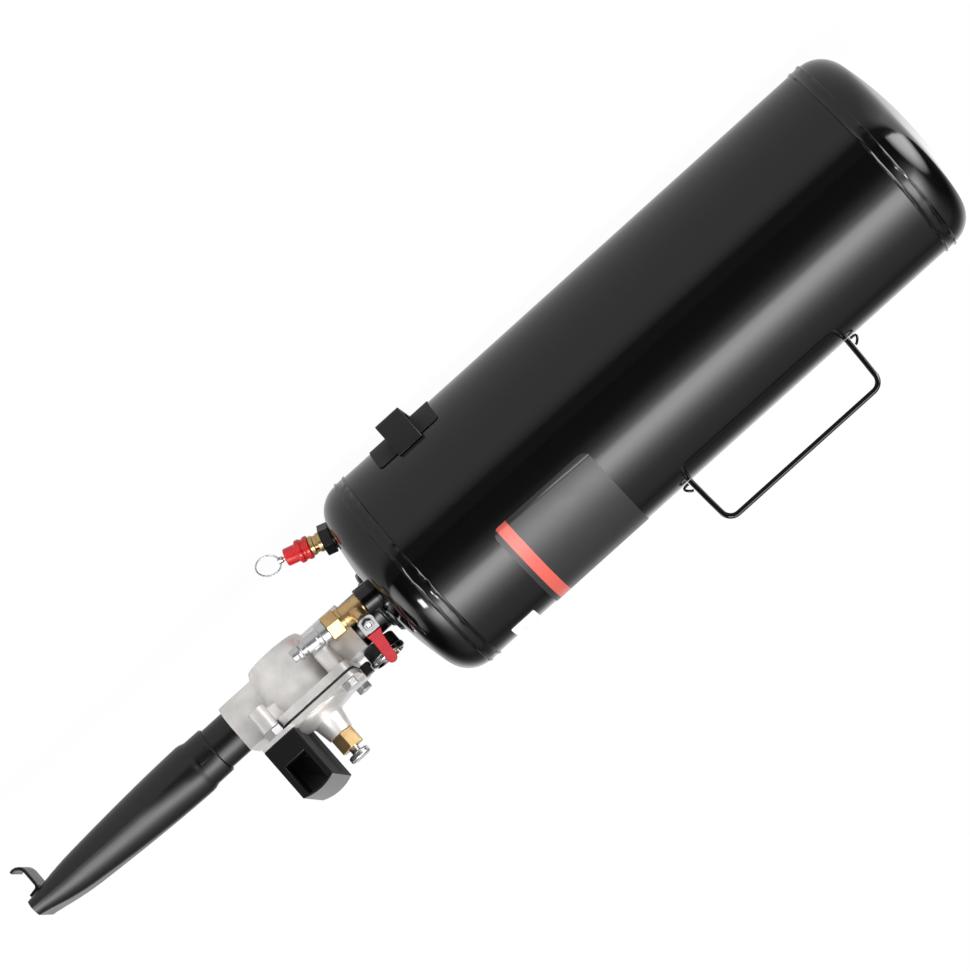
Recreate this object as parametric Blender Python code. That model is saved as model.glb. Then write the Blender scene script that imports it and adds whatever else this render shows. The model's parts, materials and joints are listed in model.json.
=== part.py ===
"""Hand-held bead seating air tank, built from its separate pieces.

Metres, +Z up, +X towards the nozzle, -Y the side of the filling valve.
The origin is the middle of the foot's underside; the tank's axis lies
AXIS_HEIGHT above it.  Sizes below are in the tank's own frame: X = 0 is a
plane near the front seam, Z = 0 is the tank's axis.
"""
from math import acos, asin, atan2, cos, pi, radians, sin, sqrt

import bmesh
import bpy
from mathutils import Matrix, Vector

for old in list(bpy.data.objects):
    bpy.data.objects.remove(old, do_unlink=True)

MM = 0.001
GAP = 0.3 * MM          # air left between pieces that touch
TANK_SEGMENTS = 36
PIPE_SEGMENTS = 24
SMALL_SEGMENTS = 16

# ---- tank ---------------------------------------------------------------
FOOT_X = -8.0 * MM
TANK_R = 77.5 * MM
TANK_WALL = 2.5 * MM
FRONT_TANGENT_X = 49.5 * MM
REAR_TANGENT_X = -363.5 * MM
SKIRT = 4.0 * MM            # straight part of each head
KNUCKLE_R = 22.0 * MM
CROWN_R = 240.0 * MM
WELD_W = 9.0 * MM
WELD_RISE = 1.9 * MM
BUNG_R = 22.0 * MM
BUNG_STEP_R = 18.8 * MM
BUNG_PROUD = 2.4 * MM       # past the head's tip
BUNG_DEPTH = 7.0 * MM

# ---- foot, label, carrying handle --------------------------------------
FOOT_LENGTH = 20.0 * MM
FOOT_SPAN = 110.0 * MM
FOOT_T = 2.4 * MM
PAD_LENGTH = 51.0 * MM
PAD_HALF_ANGLE = radians(42.0)
PAD_T = 0.7 * MM
AXIS_HEIGHT = TANK_R + GAP + PAD_T + 0.1 * MM + FOOT_T   # axis over the foot's underside
LABEL_FRONT_X = -9.3 * MM
LABEL_LENGTH = 81.7 * MM
LABEL_LOW_ANGLE = radians(19.0)
LABEL_ARC = radians(88.7)
LABEL_T = 0.3 * MM
LABEL_CORNER = 6.0 * MM
STICKER_X = 5.0 * MM
STICKER_LENGTH = 20.0 * MM
STICKER_LOW_ANGLE = radians(74.0)
STICKER_ARC = radians(22.0)
HANDLE_WIRE_R = 1.95 * MM
HANDLE_FRONT_X = -128.0 * MM
HANDLE_REAR_X = -266.8 * MM
HANDLE_LEAN = 1.6 * MM      # each leg leans inward by this at its top
HANDLE_RISE = 38.0 * MM     # bar's centre line above the tank
HANDLE_CORNER = 8.0 * MM
EYE_WIRE_R = 0.95 * MM
EYE_REACH = 4.6 * MM
EYE_RISE = 5.4 * MM

# ---- pipes and release valve -------------------------------------------
INLET_PIPE_R = 16.7 * MM
NOZZLE_PIPE_R = 16.0 * MM
PIPE_WALL = 3.0 * MM
BODY_X0 = 103.0 * MM
BODY_X1 = 206.5 * MM
SOCKET_DEPTH = 14.0 * MM
BODY_HALF_W = 19.3 * MM
BODY_TOP = 18.0 * MM
CHAMBER_X = 156.0 * MM
CHAMBER_R = 29.5 * MM
CHAMBER_SIDE_LOW = -8.0 * MM
CHAMBER_FOOT_R = 21.0 * MM
CHAMBER_FOOT_Z = -22.6 * MM
SEAT_R = 14.0 * MM
SEAT_WALL = 2.6 * MM
BORE_R = 13.2 * MM
FLANGE_X0 = 118.3 * MM
FLANGE_X1 = 179.0 * MM
FLANGE_HALF_W = 36.0 * MM
FLANGE_CORNER = 7.0 * MM
FLANGE_LOW = 17.0 * MM
FLANGE_TOP = 23.0 * MM
TONGUE_X1 = 193.0 * MM
TONGUE_HALF_W = 21.7 * MM
BOSS_R = 6.5 * MM
BOSS_LOW = 2.0 * MM
REAR_BOLT = (127.0 * MM, 29.0 * MM)
FRONT_STUD = (186.0 * MM, 30.0 * MM)
FRONT_BOSS_TOP = 18.9 * MM
DIAPHRAGM_T = 1.2 * MM
BONNET_T = 3.9 * MM
WING_X0 = 173.0 * MM
WING_X1 = 199.0 * MM
WING_HALF_W = 41.0 * MM
DOME_R = 28.0 * MM
DOME_RISE = 5.0 * MM
CONE_R0 = 11.6 * MM
CONE_R1 = 9.3 * MM
CONE_TOP = 48.0 * MM
BONNET_WALL = 2.5 * MM
BOLT_R = 3.0 * MM
BOLT_AF = 10.0 * MM
BOLT_HEAD = 5.0 * MM
BOLT_LENGTH = 19.0 * MM
STUD_AF = 13.0 * MM
STUD_INTO_BOSS = 11.0 * MM
STUD_INTO_GUARD = 8.0 * MM

# ---- pilot valve and guard ----------------------------------------------
PILOT_AF = 16.0 * MM
PILOT_H = 12.0 * MM
PILOT_SHANK_R = 5.0 * MM
PILOT_SHANK = 8.0 * MM
PILOT_WALL = 2.0 * MM
PILOT_SPRING_ROOM_R = 5.2 * MM
BUTTON_STEM_R = 3.5 * MM
BUTTON_R = 7.75 * MM
BUTTON_H = 4.5 * MM
BUTTON_GAP = 4.2 * MM
BUTTON_TRAVEL = 3.0 * MM
GUARD_SIDE_TOP = 68.2 * MM
GUARD_CROWN = 2.8 * MM
POCKET_RIM = 4.4 * MM
POCKET_LOW = 44.5 * MM
POCKET_TOP_WALL = 1.5 * MM
POCKET_DEPTH = 29.0 * MM

# ---- gauge --------------------------------------------------------------
GAUGE_X = 98.0 * MM
GAUGE_LOW = 18.4 * MM
GAUGE_CASE_R = 12.5 * MM
GAUGE_CASE_H = 9.3 * MM
GAUGE_WALL = 1.4 * MM
BEZEL_R = 13.4 * MM
BEZEL_H = 4.4 * MM
STEM_BLOCK = 8.0 * MM
STEM_THREAD_R = 2.5 * MM
GAUGE_BOSS_X1 = 130.0 * MM
GAUGE_BOSS_HALF_W = 7.0 * MM
GAUGE_BOSS_TOP = 32.2 * MM

# ---- filling valve (on an axis tilted out of the head) ---------------------
FILL_Y = -30.0 * MM
FILL_Z = -3.0 * MM
FILL_YAW = radians(8.5)
FILL_PITCH = radians(2.5)
FILL_BOSS_R = 10.25 * MM
FILL_BOSS_OUT = 10.2 * MM
FILL_BOSS_IN = 4.0 * MM
VALVE_LENGTH = 28.0 * MM
VALVE_FLANGE_R = 7.5 * MM
VALVE_BODY_R = 7.4 * MM
VALVE_SHANK_R = 5.6 * MM
BALL_AT = 6.2 * MM          # ball's middle from the body's rear face
BALL_R = 4.8 * MM
BALL_BORE_R = 2.8 * MM
SEAT_BORE_R = 3.6 * MM
CHAMBER_WALL = 1.5 * MM
END_HEX_AF = 17.0 * MM
END_HEX = 9.7 * MM
LEVER_ANGLE = radians(36.0)  # stem's direction, from -Y towards +Z
LEVER_OUT = 27.5 * MM        # lever's middle plane from the valve's axis
LEVER_LENGTH = 34.3 * MM
LEVER_GRIP_FROM = 7.2 * MM
LEVER_T = 1.4 * MM
GRIP_T = 3.4 * MM
GRIP_W0 = 11.4 * MM
GRIP_W1 = 6.8 * MM
PLATE_W = 12.0 * MM
STEM_R = 1.9 * MM
GLAND_R = 4.4 * MM
GLAND_OUT = 21.0 * MM
LEVER_NUT_AF = 7.0 * MM
PLUG_SHANK_R = 4.6 * MM
PLUG_SHANK = 6.0 * MM
PLUG_LENGTH = 29.0 * MM
PLUG_BORE_R = 2.6 * MM

# ---- relief valve ----------------------------------------------------------
RELIEF_Z = -54.0 * MM
RELIEF_PITCH = radians(17.5)
RELIEF_NECK_R = 8.6 * MM
RELIEF_NECK_OUT = 1.3 * MM
RELIEF_NECK_IN = 6.0 * MM
RELIEF_HEX_AF = 18.8 * MM
RELIEF_HEX = 7.2 * MM
RELIEF_SHANK_R = 5.0 * MM
RELIEF_BODY_R = 6.75 * MM
RELIEF_BODY = 8.3 * MM
RELIEF_BORE_R = 4.2 * MM
CAP_RING_R = 8.2 * MM
CAP_RING = 10.0 * MM
CAP_END_R = 6.2 * MM
CAP_END = 8.4 * MM
RELIEF_STEM_R = 1.5 * MM
RELIEF_EYE_OUT = 5.6 * MM
RELIEF_LIFT = 2.5 * MM
PULL_RING_R = 8.6 * MM
PULL_WIRE_R = 0.55 * MM
PULL_RING_TURN = radians(44.0)

# ---- nozzle ------------------------------------------------------------------
NOZZLE_X0 = 225.5 * MM
NOZZLE_WALL = 1.6 * MM
NOZZLE_SECTIONS = (          # X, half height; the perimeter stays the same
    (245.0 * MM, 19.2 * MM), (262.0 * MM, 18.8 * MM), (282.0 * MM, 17.9 * MM),
    (300.0 * MM, 16.8 * MM), (318.0 * MM, 15.5 * MM), (335.0 * MM, 14.1 * MM),
    (350.0 * MM, 12.7 * MM), (362.0 * MM, 10.6 * MM), (371.0 * MM, 8.6 * MM),
    (378.0 * MM, 7.0 * MM), (384.0 * MM, 6.0 * MM))
NOZZLE_R = 19.3 * MM
COLLAR_END_X = 240.0 * MM
HOOK_W = 31.0 * MM
HOOK_T = 2.3 * MM
HOOK_X = 373.6 * MM
HOOK_DROP = 25.0 * MM
HOOK_LIP = 6.0 * MM

# ---- what follows from the sizes above --------------------------------------
HEAD_DEPTH = CROWN_R - sqrt((CROWN_R - KNUCKLE_R) ** 2 - (TANK_R - KNUCKLE_R) ** 2)
HEAD_TIP_X = FRONT_TANGENT_X + HEAD_DEPTH
CROWN_CENTRE_X = HEAD_TIP_X - CROWN_R
SEAM_X0 = FRONT_TANGENT_X - SKIRT
SEAM_X1 = REAR_TANGENT_X + SKIRT
DIAPHRAGM_LOW = FLANGE_TOP + GAP
BONNET_LOW = DIAPHRAGM_LOW + DIAPHRAGM_T + GAP
BONNET_TOP = BONNET_LOW + BONNET_T
GUARD_LOW = BONNET_TOP + GAP
PILOT_LOW = CONE_TOP + GAP
PILOT_TOP = PILOT_LOW + PILOT_H
BUTTON_LOW = PILOT_TOP + BUTTON_GAP


def head_x(r):
    """X of the front head's outer face at radius r, on its crown."""
    return CROWN_CENTRE_X + sqrt(CROWN_R ** 2 - r ** 2)


# ---- tools for making pieces ---------------------------------------------------
def frame(name, place, matrix=None, parent=None):
    """An empty: a frame that pieces are placed in."""
    empty = bpy.data.objects.new(name, None)
    bpy.context.scene.collection.objects.link(empty)
    empty.location = place
    if matrix is not None:
        empty.rotation_euler = matrix.to_euler()
    empty.parent = parent
    return empty


def axes(x, up):
    """Rotation whose +X is x and whose +Z lies nearest to up."""
    x = Vector(x).normalized()
    z = (Vector(up) - x * Vector(up).dot(x)).normalized()
    y = z.cross(x)
    return Matrix((x, y, z)).transposed()


tank = frame("tank_axis", (-FOOT_X, 0.0, AXIS_HEIGHT))
ALONG = axes((0, 0, -1), (1, 0, 0)).to_euler()   # local +Z points to +X

looks = {}


def look(name, colour, rough, metal):
    made = bpy.data.materials.new(name)
    made.use_nodes = True
    shader = made.node_tree.nodes["Principled BSDF"]
    shader.inputs["Base Color"].default_value = (*colour, 1.0)
    shader.inputs["Roughness"].default_value = rough
    shader.inputs["Metallic"].default_value = metal
    made.diffuse_color = (*colour, 1.0)
    return made


LOOKS = {
    "black_gloss": ((0.012, 0.012, 0.013), 0.15, 0.0),
    "black_satin": ((0.02, 0.02, 0.021), 0.4, 0.0),
    "black_matte": ((0.03, 0.03, 0.031), 0.6, 0.0),
    "cast": ((0.55, 0.55, 0.56), 0.45, 1.0),
    "steel": ((0.6, 0.6, 0.6), 0.3, 1.0),
    "chrome": ((0.8, 0.8, 0.8), 0.1, 1.0),
    "brass": ((0.75, 0.55, 0.27), 0.3, 1.0),
    "rubber": ((0.02, 0.02, 0.02), 0.8, 0.0),
    "red": ((0.6, 0.02, 0.05), 0.4, 0.0),
    "white": ((0.85, 0.85, 0.85), 0.4, 0.0),
    "glass": ((0.9, 0.92, 0.92), 0.05, 0.0),
    "label": ((0.08, 0.08, 0.085), 0.4, 0.0),
}


def finish(name, mesh, kind, parent=tank, place=(0, 0, 0), turn=None, sharp=35):
    """One piece: an object with its own material, smooth where it is round."""
    piece = bpy.data.objects.new(name, mesh)
    bpy.context.scene.collection.objects.link(piece)
    piece.data.materials.append(look(name, *LOOKS[kind]))
    if mesh.rna_type.identifier == "Mesh":
        mesh.shade_smooth()
        mesh.set_sharp_from_angle(angle=radians(sharp))
    piece.parent = parent
    piece.location = place
    if turn is not None:
        piece.rotation_euler = turn
    return piece


def to_mesh(name, bm):
    bmesh.ops.remove_doubles(bm, verts=bm.verts, dist=1e-6)
    bmesh.ops.recalc_face_normals(bm, faces=bm.faces)
    mesh = bpy.data.meshes.new(name)
    bm.to_mesh(mesh)
    bm.free()
    return mesh


def turned_mesh(name, outline, steps=SMALL_SEGMENTS):
    """A solid turned round local Z.  The outline is (radius, height) points:
    closed if it stays off the axis, else it starts and ends on the axis."""
    bm = bmesh.new()
    verts = [bm.verts.new((r, 0.0, h)) for r, h in outline]
    edges = [bm.edges.new(pair) for pair in zip(verts, verts[1:])]
    if outline[0][0] > 0 or outline[-1][0] > 0:
        edges.append(bm.edges.new((verts[-1], verts[0])))
    bmesh.ops.spin(bm, geom=verts + edges, cent=(0, 0, 0), axis=(0, 0, 1),
                   dvec=(0, 0, 0), angle=2 * pi, steps=steps, use_merge=True)
    return to_mesh(name, bm)


def turned(name, outline, kind, steps=SMALL_SEGMENTS, **where):
    return finish(name, turned_mesh(name, outline, steps), kind, **where)


def tube(r, inner, z0, z1):
    return [(inner, z0), (r, z0), (r, z1), (inner, z1)]


def rod(r, z0, z1):
    return [(0.0, z0), (r, z0), (r, z1), (0.0, z1)]


def prism_mesh(name, outline, z0, z1, holes=()):
    """A flat outline in local XY, with holes, given a thickness along Z."""
    bm = bmesh.new()
    edges = []
    for loop in (outline, *holes):
        verts = [bm.verts.new((x, y, z0)) for x, y in loop]
        edges += [bm.edges.new((a, b)) for a, b in zip(verts, verts[1:] + verts[:1])]
    if holes:
        bmesh.ops.triangle_fill(bm, use_beauty=True, use_dissolve=False, edges=edges)
    else:
        bm.faces.new([e.verts[0] for e in edges])
    grown = bmesh.ops.extrude_face_region(bm, geom=bm.faces[:])
    bmesh.ops.translate(bm, vec=(0, 0, z1 - z0),
                        verts=[g for g in grown["geom"] if isinstance(g, bmesh.types.BMVert)])
    return to_mesh(name, bm)


def prism(name, outline, z0, z1, kind, holes=(), **where):
    return finish(name, prism_mesh(name, outline, z0, z1, holes), kind, **where)


def circle(r, n=SMALL_SEGMENTS, x=0.0, y=0.0, start=0.0):
    return [(x + r * cos(start + 2 * pi * i / n), y + r * sin(start + 2 * pi * i / n))
            for i in range(n)]


def hexagon(across_flats, start=0.0, x=0.0, y=0.0):
    return circle(across_flats / sqrt(3), 6, x, y, start)


def arc(cx, cy, r, a0, a1, steps):
    return [(cx + r * cos(a0 + (a1 - a0) * i / steps), cy + r * sin(a0 + (a1 - a0) * i / steps))
            for i in range(steps + 1)]


def rounded(x0, x1, y0, y1, r, steps=4):
    return (arc(x1 - r, y1 - r, r, 0, pi / 2, steps) + arc(x0 + r, y1 - r, r, pi / 2, pi, steps)
            + arc(x0 + r, y0 + r, r, pi, 1.5 * pi, steps)
            + arc(x1 - r, y0 + r, r, 1.5 * pi, 2 * pi, steps))


def box(x0, x1, y0, y1):
    return [(x0, y0), (x1, y0), (x1, y1), (x0, y1)]


def helper(name, mesh, parent=tank, place=(0, 0, 0), turn=None):
    """A shape that joins or cuts another piece and isn't one itself."""
    shape = bpy.data.objects.new(name, mesh)
    bpy.context.scene.collection.objects.link(shape)
    shape.hide_render = True
    shape.display_type = "WIRE"
    shape.parent = parent
    shape.location = place
    if turn is not None:
        shape.rotation_euler = turn
    return shape


def boolean(piece, shape, operation):
    step = piece.modifiers.new(shape.name, "BOOLEAN")
    step.operation = operation
    step.solver = "EXACT"
    step.object = shape


def cut(piece, *shapes):
    for shape in shapes:
        boolean(piece, shape, "DIFFERENCE")


def join(piece, *shapes):
    for shape in shapes:
        boolean(piece, shape, "UNION")


def wire(name, points, r, kind, closed=False, sides=3, **where):
    """A round wire or tube along the points."""
    curve = bpy.data.curves.new(name, "CURVE")
    curve.dimensions = "3D"
    curve.bevel_depth = r
    curve.bevel_resolution = sides
    curve.use_fill_caps = True
    spline = curve.splines.new("POLY")
    spline.points.add(len(points) - 1)
    for point, place in zip(spline.points, points):
        point.co = (*place, 1.0)
    spline.use_cyclic_u = closed
    spline.use_smooth = True
    return finish(name, curve, kind, **where)


def coil_points(r, z0, z1, turns, steps=12):
    count = int(turns * steps)
    return [(r * cos(2 * pi * i / steps), r * sin(2 * pi * i / steps), z0 + (z1 - z0) * i / count)
            for i in range(count + 1)]


# ---- tank: shell, two heads, weld beads -------------------------------------------
shell = turned("tank_shell", tube(TANK_R, TANK_R - TANK_WALL, SEAM_X1 + GAP / 2, SEAM_X0 - GAP / 2),
               "black_gloss", TANK_SEGMENTS, turn=ALONG)


def head_face(offset, steps):
    """Points (radius, depth past the tangent plane) of a dished head's face,
    from its skirt to its tip; offset is how far inside the outer face it lies."""
    spread = asin((TANK_R - KNUCKLE_R) / (CROWN_R - KNUCKLE_R))
    knuckle = arc(TANK_R - KNUCKLE_R, 0, KNUCKLE_R - offset, 0, pi / 2 - spread, steps)
    crown = arc(0, HEAD_DEPTH - CROWN_R, CROWN_R - offset, pi / 2 - spread, pi / 2, steps - 1)
    return knuckle + crown[1:-1] + [(0.0, HEAD_DEPTH - offset)]


def head_outline():
    outer, inner = head_face(0, 4), head_face(TANK_WALL, 3)
    skirt = -(SKIRT - GAP / 2)
    return ([(r, h) for r, h in reversed(outer)] + [(TANK_R, skirt), (TANK_R - TANK_WALL, skirt)]
            + inner)


front_head = turned("front_head", head_outline(), "black_gloss", TANK_SEGMENTS,
                    place=(FRONT_TANGENT_X, 0, 0), turn=ALONG)
rear_head = turned("rear_head", head_outline(), "black_gloss", TANK_SEGMENTS,
                   place=(REAR_TANGENT_X, 0, 0), turn=axes((0, 0, 1), (-1, 0, 0)).to_euler())


def weld_outline():
    """A low bead with a rounded ridge at each edge and a dip between them."""
    inner = TANK_R + GAP
    half = WELD_W / 2
    return [(inner, -half), (inner + 0.5 * WELD_RISE, -half), (inner + WELD_RISE, -half + 0.9 * MM),
            (inner + 0.7 * WELD_RISE, 0.0),
            (inner + WELD_RISE, half - 0.9 * MM), (inner + 0.5 * WELD_RISE, half), (inner, half)]


for name, x in (("front_seam_weld", SEAM_X0), ("rear_seam_weld", SEAM_X1)):
    turned(name, weld_outline(), "black_gloss", TANK_SEGMENTS, place=(x, 0, 0), turn=ALONG)

# ---- outlet bung and its pipe --------------------------------------------------------
bung_out = HEAD_TIP_X + BUNG_PROUD
bung = turned("outlet_bung",
              [(INLET_PIPE_R + GAP, HEAD_TIP_X - BUNG_DEPTH), (BUNG_R, HEAD_TIP_X - BUNG_DEPTH),
               (BUNG_R, bung_out - 2.0 * MM), (BUNG_STEP_R, bung_out - 0.6 * MM),
               (BUNG_STEP_R, bung_out), (INLET_PIPE_R + GAP, bung_out)],
              "black_gloss", PIPE_SEGMENTS, turn=ALONG)
cut(front_head, helper("bung_hole", turned_mesh("bung_hole", rod(
    BUNG_R + GAP, HEAD_TIP_X - 12 * MM, HEAD_TIP_X + 8 * MM), PIPE_SEGMENTS), turn=ALONG))
inlet_pipe = turned("inlet_pipe",
                    tube(INLET_PIPE_R, INLET_PIPE_R - PIPE_WALL, HEAD_TIP_X - BUNG_DEPTH,
                         BODY_X0 + SOCKET_DEPTH - GAP), "black_gloss", PIPE_SEGMENTS, turn=ALONG)

# ---- foot and its pad -----------------------------------------------------------------
UNDER = axes((1, 0, 0), (0, 0, 1))


def saddle_mesh(name, r0, r1, a0, a1, x0, x1, corner, rows):
    """A sheet bent round the tank's axis.  Angles run from -Y towards +Z.
    Its corners are rounded by narrowing the rows near each end."""
    mid = (r0 + r1) / 2
    edge = [a0 + corner / mid * (1 - cos(pi / 2 * i / 4)) for i in range(5)] if corner else [a0]
    last = [a0 + a1 - a for a in reversed(edge)]
    inner = [edge[-1] + (last[0] - edge[-1]) * i / rows for i in range(1, rows)]
    bm = bmesh.new()
    rings = []
    for a in edge + inner + last:
        from_end = min(a - a0, a1 - a) * mid
        narrow = corner - sqrt(max(0.0, corner ** 2 - max(0.0, corner - from_end) ** 2))
        rings.append([bm.verts.new((x, -r * cos(a), r * sin(a))) for r, x in (
            (r0, x0 + narrow), (r1, x0 + narrow), (r1, x1 - narrow), (r0, x1 - narrow))])
    for one, two in zip(rings, rings[1:]):
        for i in range(4):
            bm.faces.new((one[i], one[(i + 1) % 4], two[(i + 1) % 4], two[i]))
    bm.faces.new(rings[0])
    bm.faces.new(rings[-1][::-1])
    return to_mesh(name, bm)


pad_r0 = TANK_R + GAP
finish("foot_pad", saddle_mesh("foot_pad", pad_r0, pad_r0 + PAD_T, -pi / 2 - PAD_HALF_ANGLE,
                               -pi / 2 + PAD_HALF_ANGLE, FOOT_X - PAD_LENGTH / 2,
                               FOOT_X + PAD_LENGTH / 2, 3 * MM, 18), "rubber")
foot_half = FOOT_SPAN / 2
foot_bend = 3.0 * MM
foot_low = -AXIS_HEIGHT
leg_top = -sqrt((TANK_R + GAP) ** 2 - foot_half ** 2) + 6 * MM
foot_outer = ([(foot_half, leg_top)] + arc(foot_half - foot_bend, foot_low + foot_bend, foot_bend,
                                           0, -pi / 2, 4)
              + arc(-foot_half + foot_bend, foot_low + foot_bend, foot_bend, -pi / 2, -pi, 4)
              + [(-foot_half, leg_top)])
inner_bend = foot_bend - FOOT_T
foot_inner = ([(-foot_half + FOOT_T, leg_top)]
              + arc(-foot_half + foot_bend, foot_low + foot_bend, inner_bend, -pi, -pi / 2, 4)
              + arc(foot_half - foot_bend, foot_low + foot_bend, inner_bend, -pi / 2, 0, 4)
              + [(foot_half - FOOT_T, leg_top)])
foot = prism("foot", foot_outer + foot_inner, -FOOT_LENGTH / 2, FOOT_LENGTH / 2, "black_satin",
             place=(FOOT_X, 0, 0), turn=axes((0, 1, 0), (1, 0, 0)).to_euler())
cut(foot, helper("foot_seat", turned_mesh("foot_seat", rod(
    TANK_R + GAP + 0.2 * MM, -30 * MM, 30 * MM), 96), place=(FOOT_X, 0, 0), turn=ALONG))

# ---- carrying handle and its eyes ---------------------------------------------------------
handle_low = TANK_R + GAP + 0.1 * MM
handle_high = TANK_R + HANDLE_RISE
front_top_x = HANDLE_FRONT_X - HANDLE_LEAN
rear_top_x = HANDLE_REAR_X + HANDLE_LEAN
handle_path = ([(HANDLE_FRONT_X, handle_low)]
               + arc(front_top_x - HANDLE_CORNER, handle_high - HANDLE_CORNER, HANDLE_CORNER,
                     0, pi / 2, 6)
               + arc(rear_top_x + HANDLE_CORNER, handle_high - HANDLE_CORNER, HANDLE_CORNER,
                     pi / 2, pi, 6) + [(HANDLE_REAR_X, handle_low)])
wire("carry_handle", [(x, 0, z) for x, z in handle_path], HANDLE_WIRE_R, "black_gloss", sides=4)
for name, x, way in (("handle_eye_front", HANDLE_FRONT_X, 1), ("handle_eye_rear", HANDLE_REAR_X, -1)):
    start = x + way * (HANDLE_WIRE_R + GAP)
    low = TANK_R + GAP + EYE_WIRE_R + 0.3 * MM
    wire(name, [(start, 0, low + EYE_RISE), (start + way * 0.55 * EYE_REACH, 0, low + 0.75 * EYE_RISE),
                (start + way * 0.9 * EYE_REACH, 0, low + 0.4 * EYE_RISE),
                (start + way * EYE_REACH * 0.85, 0, low + 0.1 * EYE_RISE),
                (start + way * 0.5 * EYE_REACH, 0, low), (start, 0, low)],
         EYE_WIRE_R, "black_gloss", sides=2)

# ---- label and sticker -------------------------------------------------------------------
label_r = TANK_R + GAP
finish("label", saddle_mesh("label", label_r, label_r + LABEL_T, LABEL_LOW_ANGLE,
                            LABEL_LOW_ANGLE + LABEL_ARC, LABEL_FRONT_X - LABEL_LENGTH,
                            LABEL_FRONT_X, LABEL_CORNER, 16), "label")
finish("sticker", saddle_mesh("sticker", label_r, label_r + LABEL_T, STICKER_LOW_ANGLE,
                              STICKER_LOW_ANGLE + STICKER_ARC, STICKER_X,
                              STICKER_X + STICKER_LENGTH, 1.5 * MM, 5), "white")

# ---- body of the quick release valve ---------------------------------------------------
def flange_outline():
    """The plate that body, diaphragm and bonnet share: a rounded rectangle
    with a tongue towards the nozzle."""
    corner, steps = FLANGE_CORNER, 3
    right = (arc(FLANGE_X1 - corner, FLANGE_HALF_W - corner, corner, pi / 2, 0, steps)
             + [(FLANGE_X1, TONGUE_HALF_W), (TONGUE_X1 - 2 * MM, TONGUE_HALF_W),
                (TONGUE_X1, TONGUE_HALF_W - 2 * MM)])
    left = arc(FLANGE_X0 + corner, FLANGE_HALF_W - corner, corner, pi, pi / 2, steps)
    half = left + right
    return half + [(x, -y) for x, y in reversed(half)]


def both_sides(points):
    return [(x, side * y) for x, y in points for side in (1, -1)]


def pillars(name, spots, r, z0, z1, steps=12):
    """Several upright rods in one helper."""
    bm = bmesh.new()
    for x, y in spots:
        bmesh.ops.create_cone(bm, cap_ends=True, segments=steps, radius1=r, radius2=r,
                              depth=z1 - z0, matrix=Matrix.Translation((x, y, (z0 + z1) / 2)))
    return helper(name, to_mesh(name, bm))


u_section = ([(BODY_HALF_W, BODY_TOP)] + arc(0, 0, BODY_HALF_W, 0, -pi, 10)
             + [(-BODY_HALF_W, BODY_TOP)])
body = prism("valve_body", u_section, BODY_X0, BODY_X1, "cast", turn=axes((0, 1, 0), (1, 0, 0)).to_euler(),
             sharp=30)
to_body = body.rotation_euler
chamber = helper("body_chamber", turned_mesh("body_chamber", [
    (0.0, CHAMBER_FOOT_Z), (CHAMBER_FOOT_R, CHAMBER_FOOT_Z), (CHAMBER_R, CHAMBER_SIDE_LOW),
    (CHAMBER_R, FLANGE_LOW + 2 * MM), (0.0, FLANGE_LOW + 2 * MM)], PIPE_SEGMENTS),
    place=(CHAMBER_X, 0, 0))
plate = helper("body_plate", prism_mesh("body_plate", flange_outline(), FLANGE_LOW, FLANGE_TOP))
rear_bosses = pillars("rear_bosses", both_sides([REAR_BOLT]), BOSS_R, BOSS_LOW, FLANGE_LOW + 2 * MM)
front_bosses = pillars("front_bosses", both_sides([FRONT_STUD]), BOSS_R, BOSS_LOW, FRONT_BOSS_TOP)


def lug_mesh(name):
    """The two arms that carry the front bosses, running out from the chamber."""
    bm = bmesh.new()
    start = Vector((CHAMBER_X + 12 * MM, 12 * MM, 0))
    end = Vector((FRONT_STUD[0], FRONT_STUD[1], 0))
    along = (end - start).normalized()
    across = Vector((-along.y, along.x, 0)) * 4.5 * MM
    for side in (1, -1):
        ring = [start + across, start - across, end - across, end + across]
        low = [bm.verts.new((p.x, side * p.y, BOSS_LOW + 4 * MM)) for p in ring]
        high = [bm.verts.new((p.x, side * p.y, FRONT_BOSS_TOP - 2.5 * MM)) for p in ring]
        bm.faces.new(low)
        bm.faces.new(high)
        for i in range(4):
            bm.faces.new((low[i], low[(i + 1) % 4], high[(i + 1) % 4], high[i]))
    return to_mesh(name, bm)


join(body, chamber, plate, rear_bosses, helper("boss_arms", lug_mesh("boss_arms")), front_bosses)
inlet_bore = [(0.0, BODY_X0 - 1 * MM), (INLET_PIPE_R + GAP, BODY_X0 - 1 * MM),
              (INLET_PIPE_R + GAP, BODY_X0 + SOCKET_DEPTH), (BORE_R, BODY_X0 + SOCKET_DEPTH),
              (BORE_R, CHAMBER_X - SEAT_R - SEAT_WALL - 1 * MM),
              (0.0, CHAMBER_X - SEAT_R - SEAT_WALL - 1 * MM)]
outlet_bore = [(0.0, CHAMBER_X), (BORE_R, CHAMBER_X), (BORE_R, BODY_X1 - SOCKET_DEPTH),
               (NOZZLE_PIPE_R + GAP, BODY_X1 - SOCKET_DEPTH),
               (NOZZLE_PIPE_R + GAP, BODY_X1 + 1 * MM), (0.0, BODY_X1 + 1 * MM)]
ring_r = CHAMBER_R - 3.5 * MM
ring_low = BORE_R + 1.6 * MM
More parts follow.
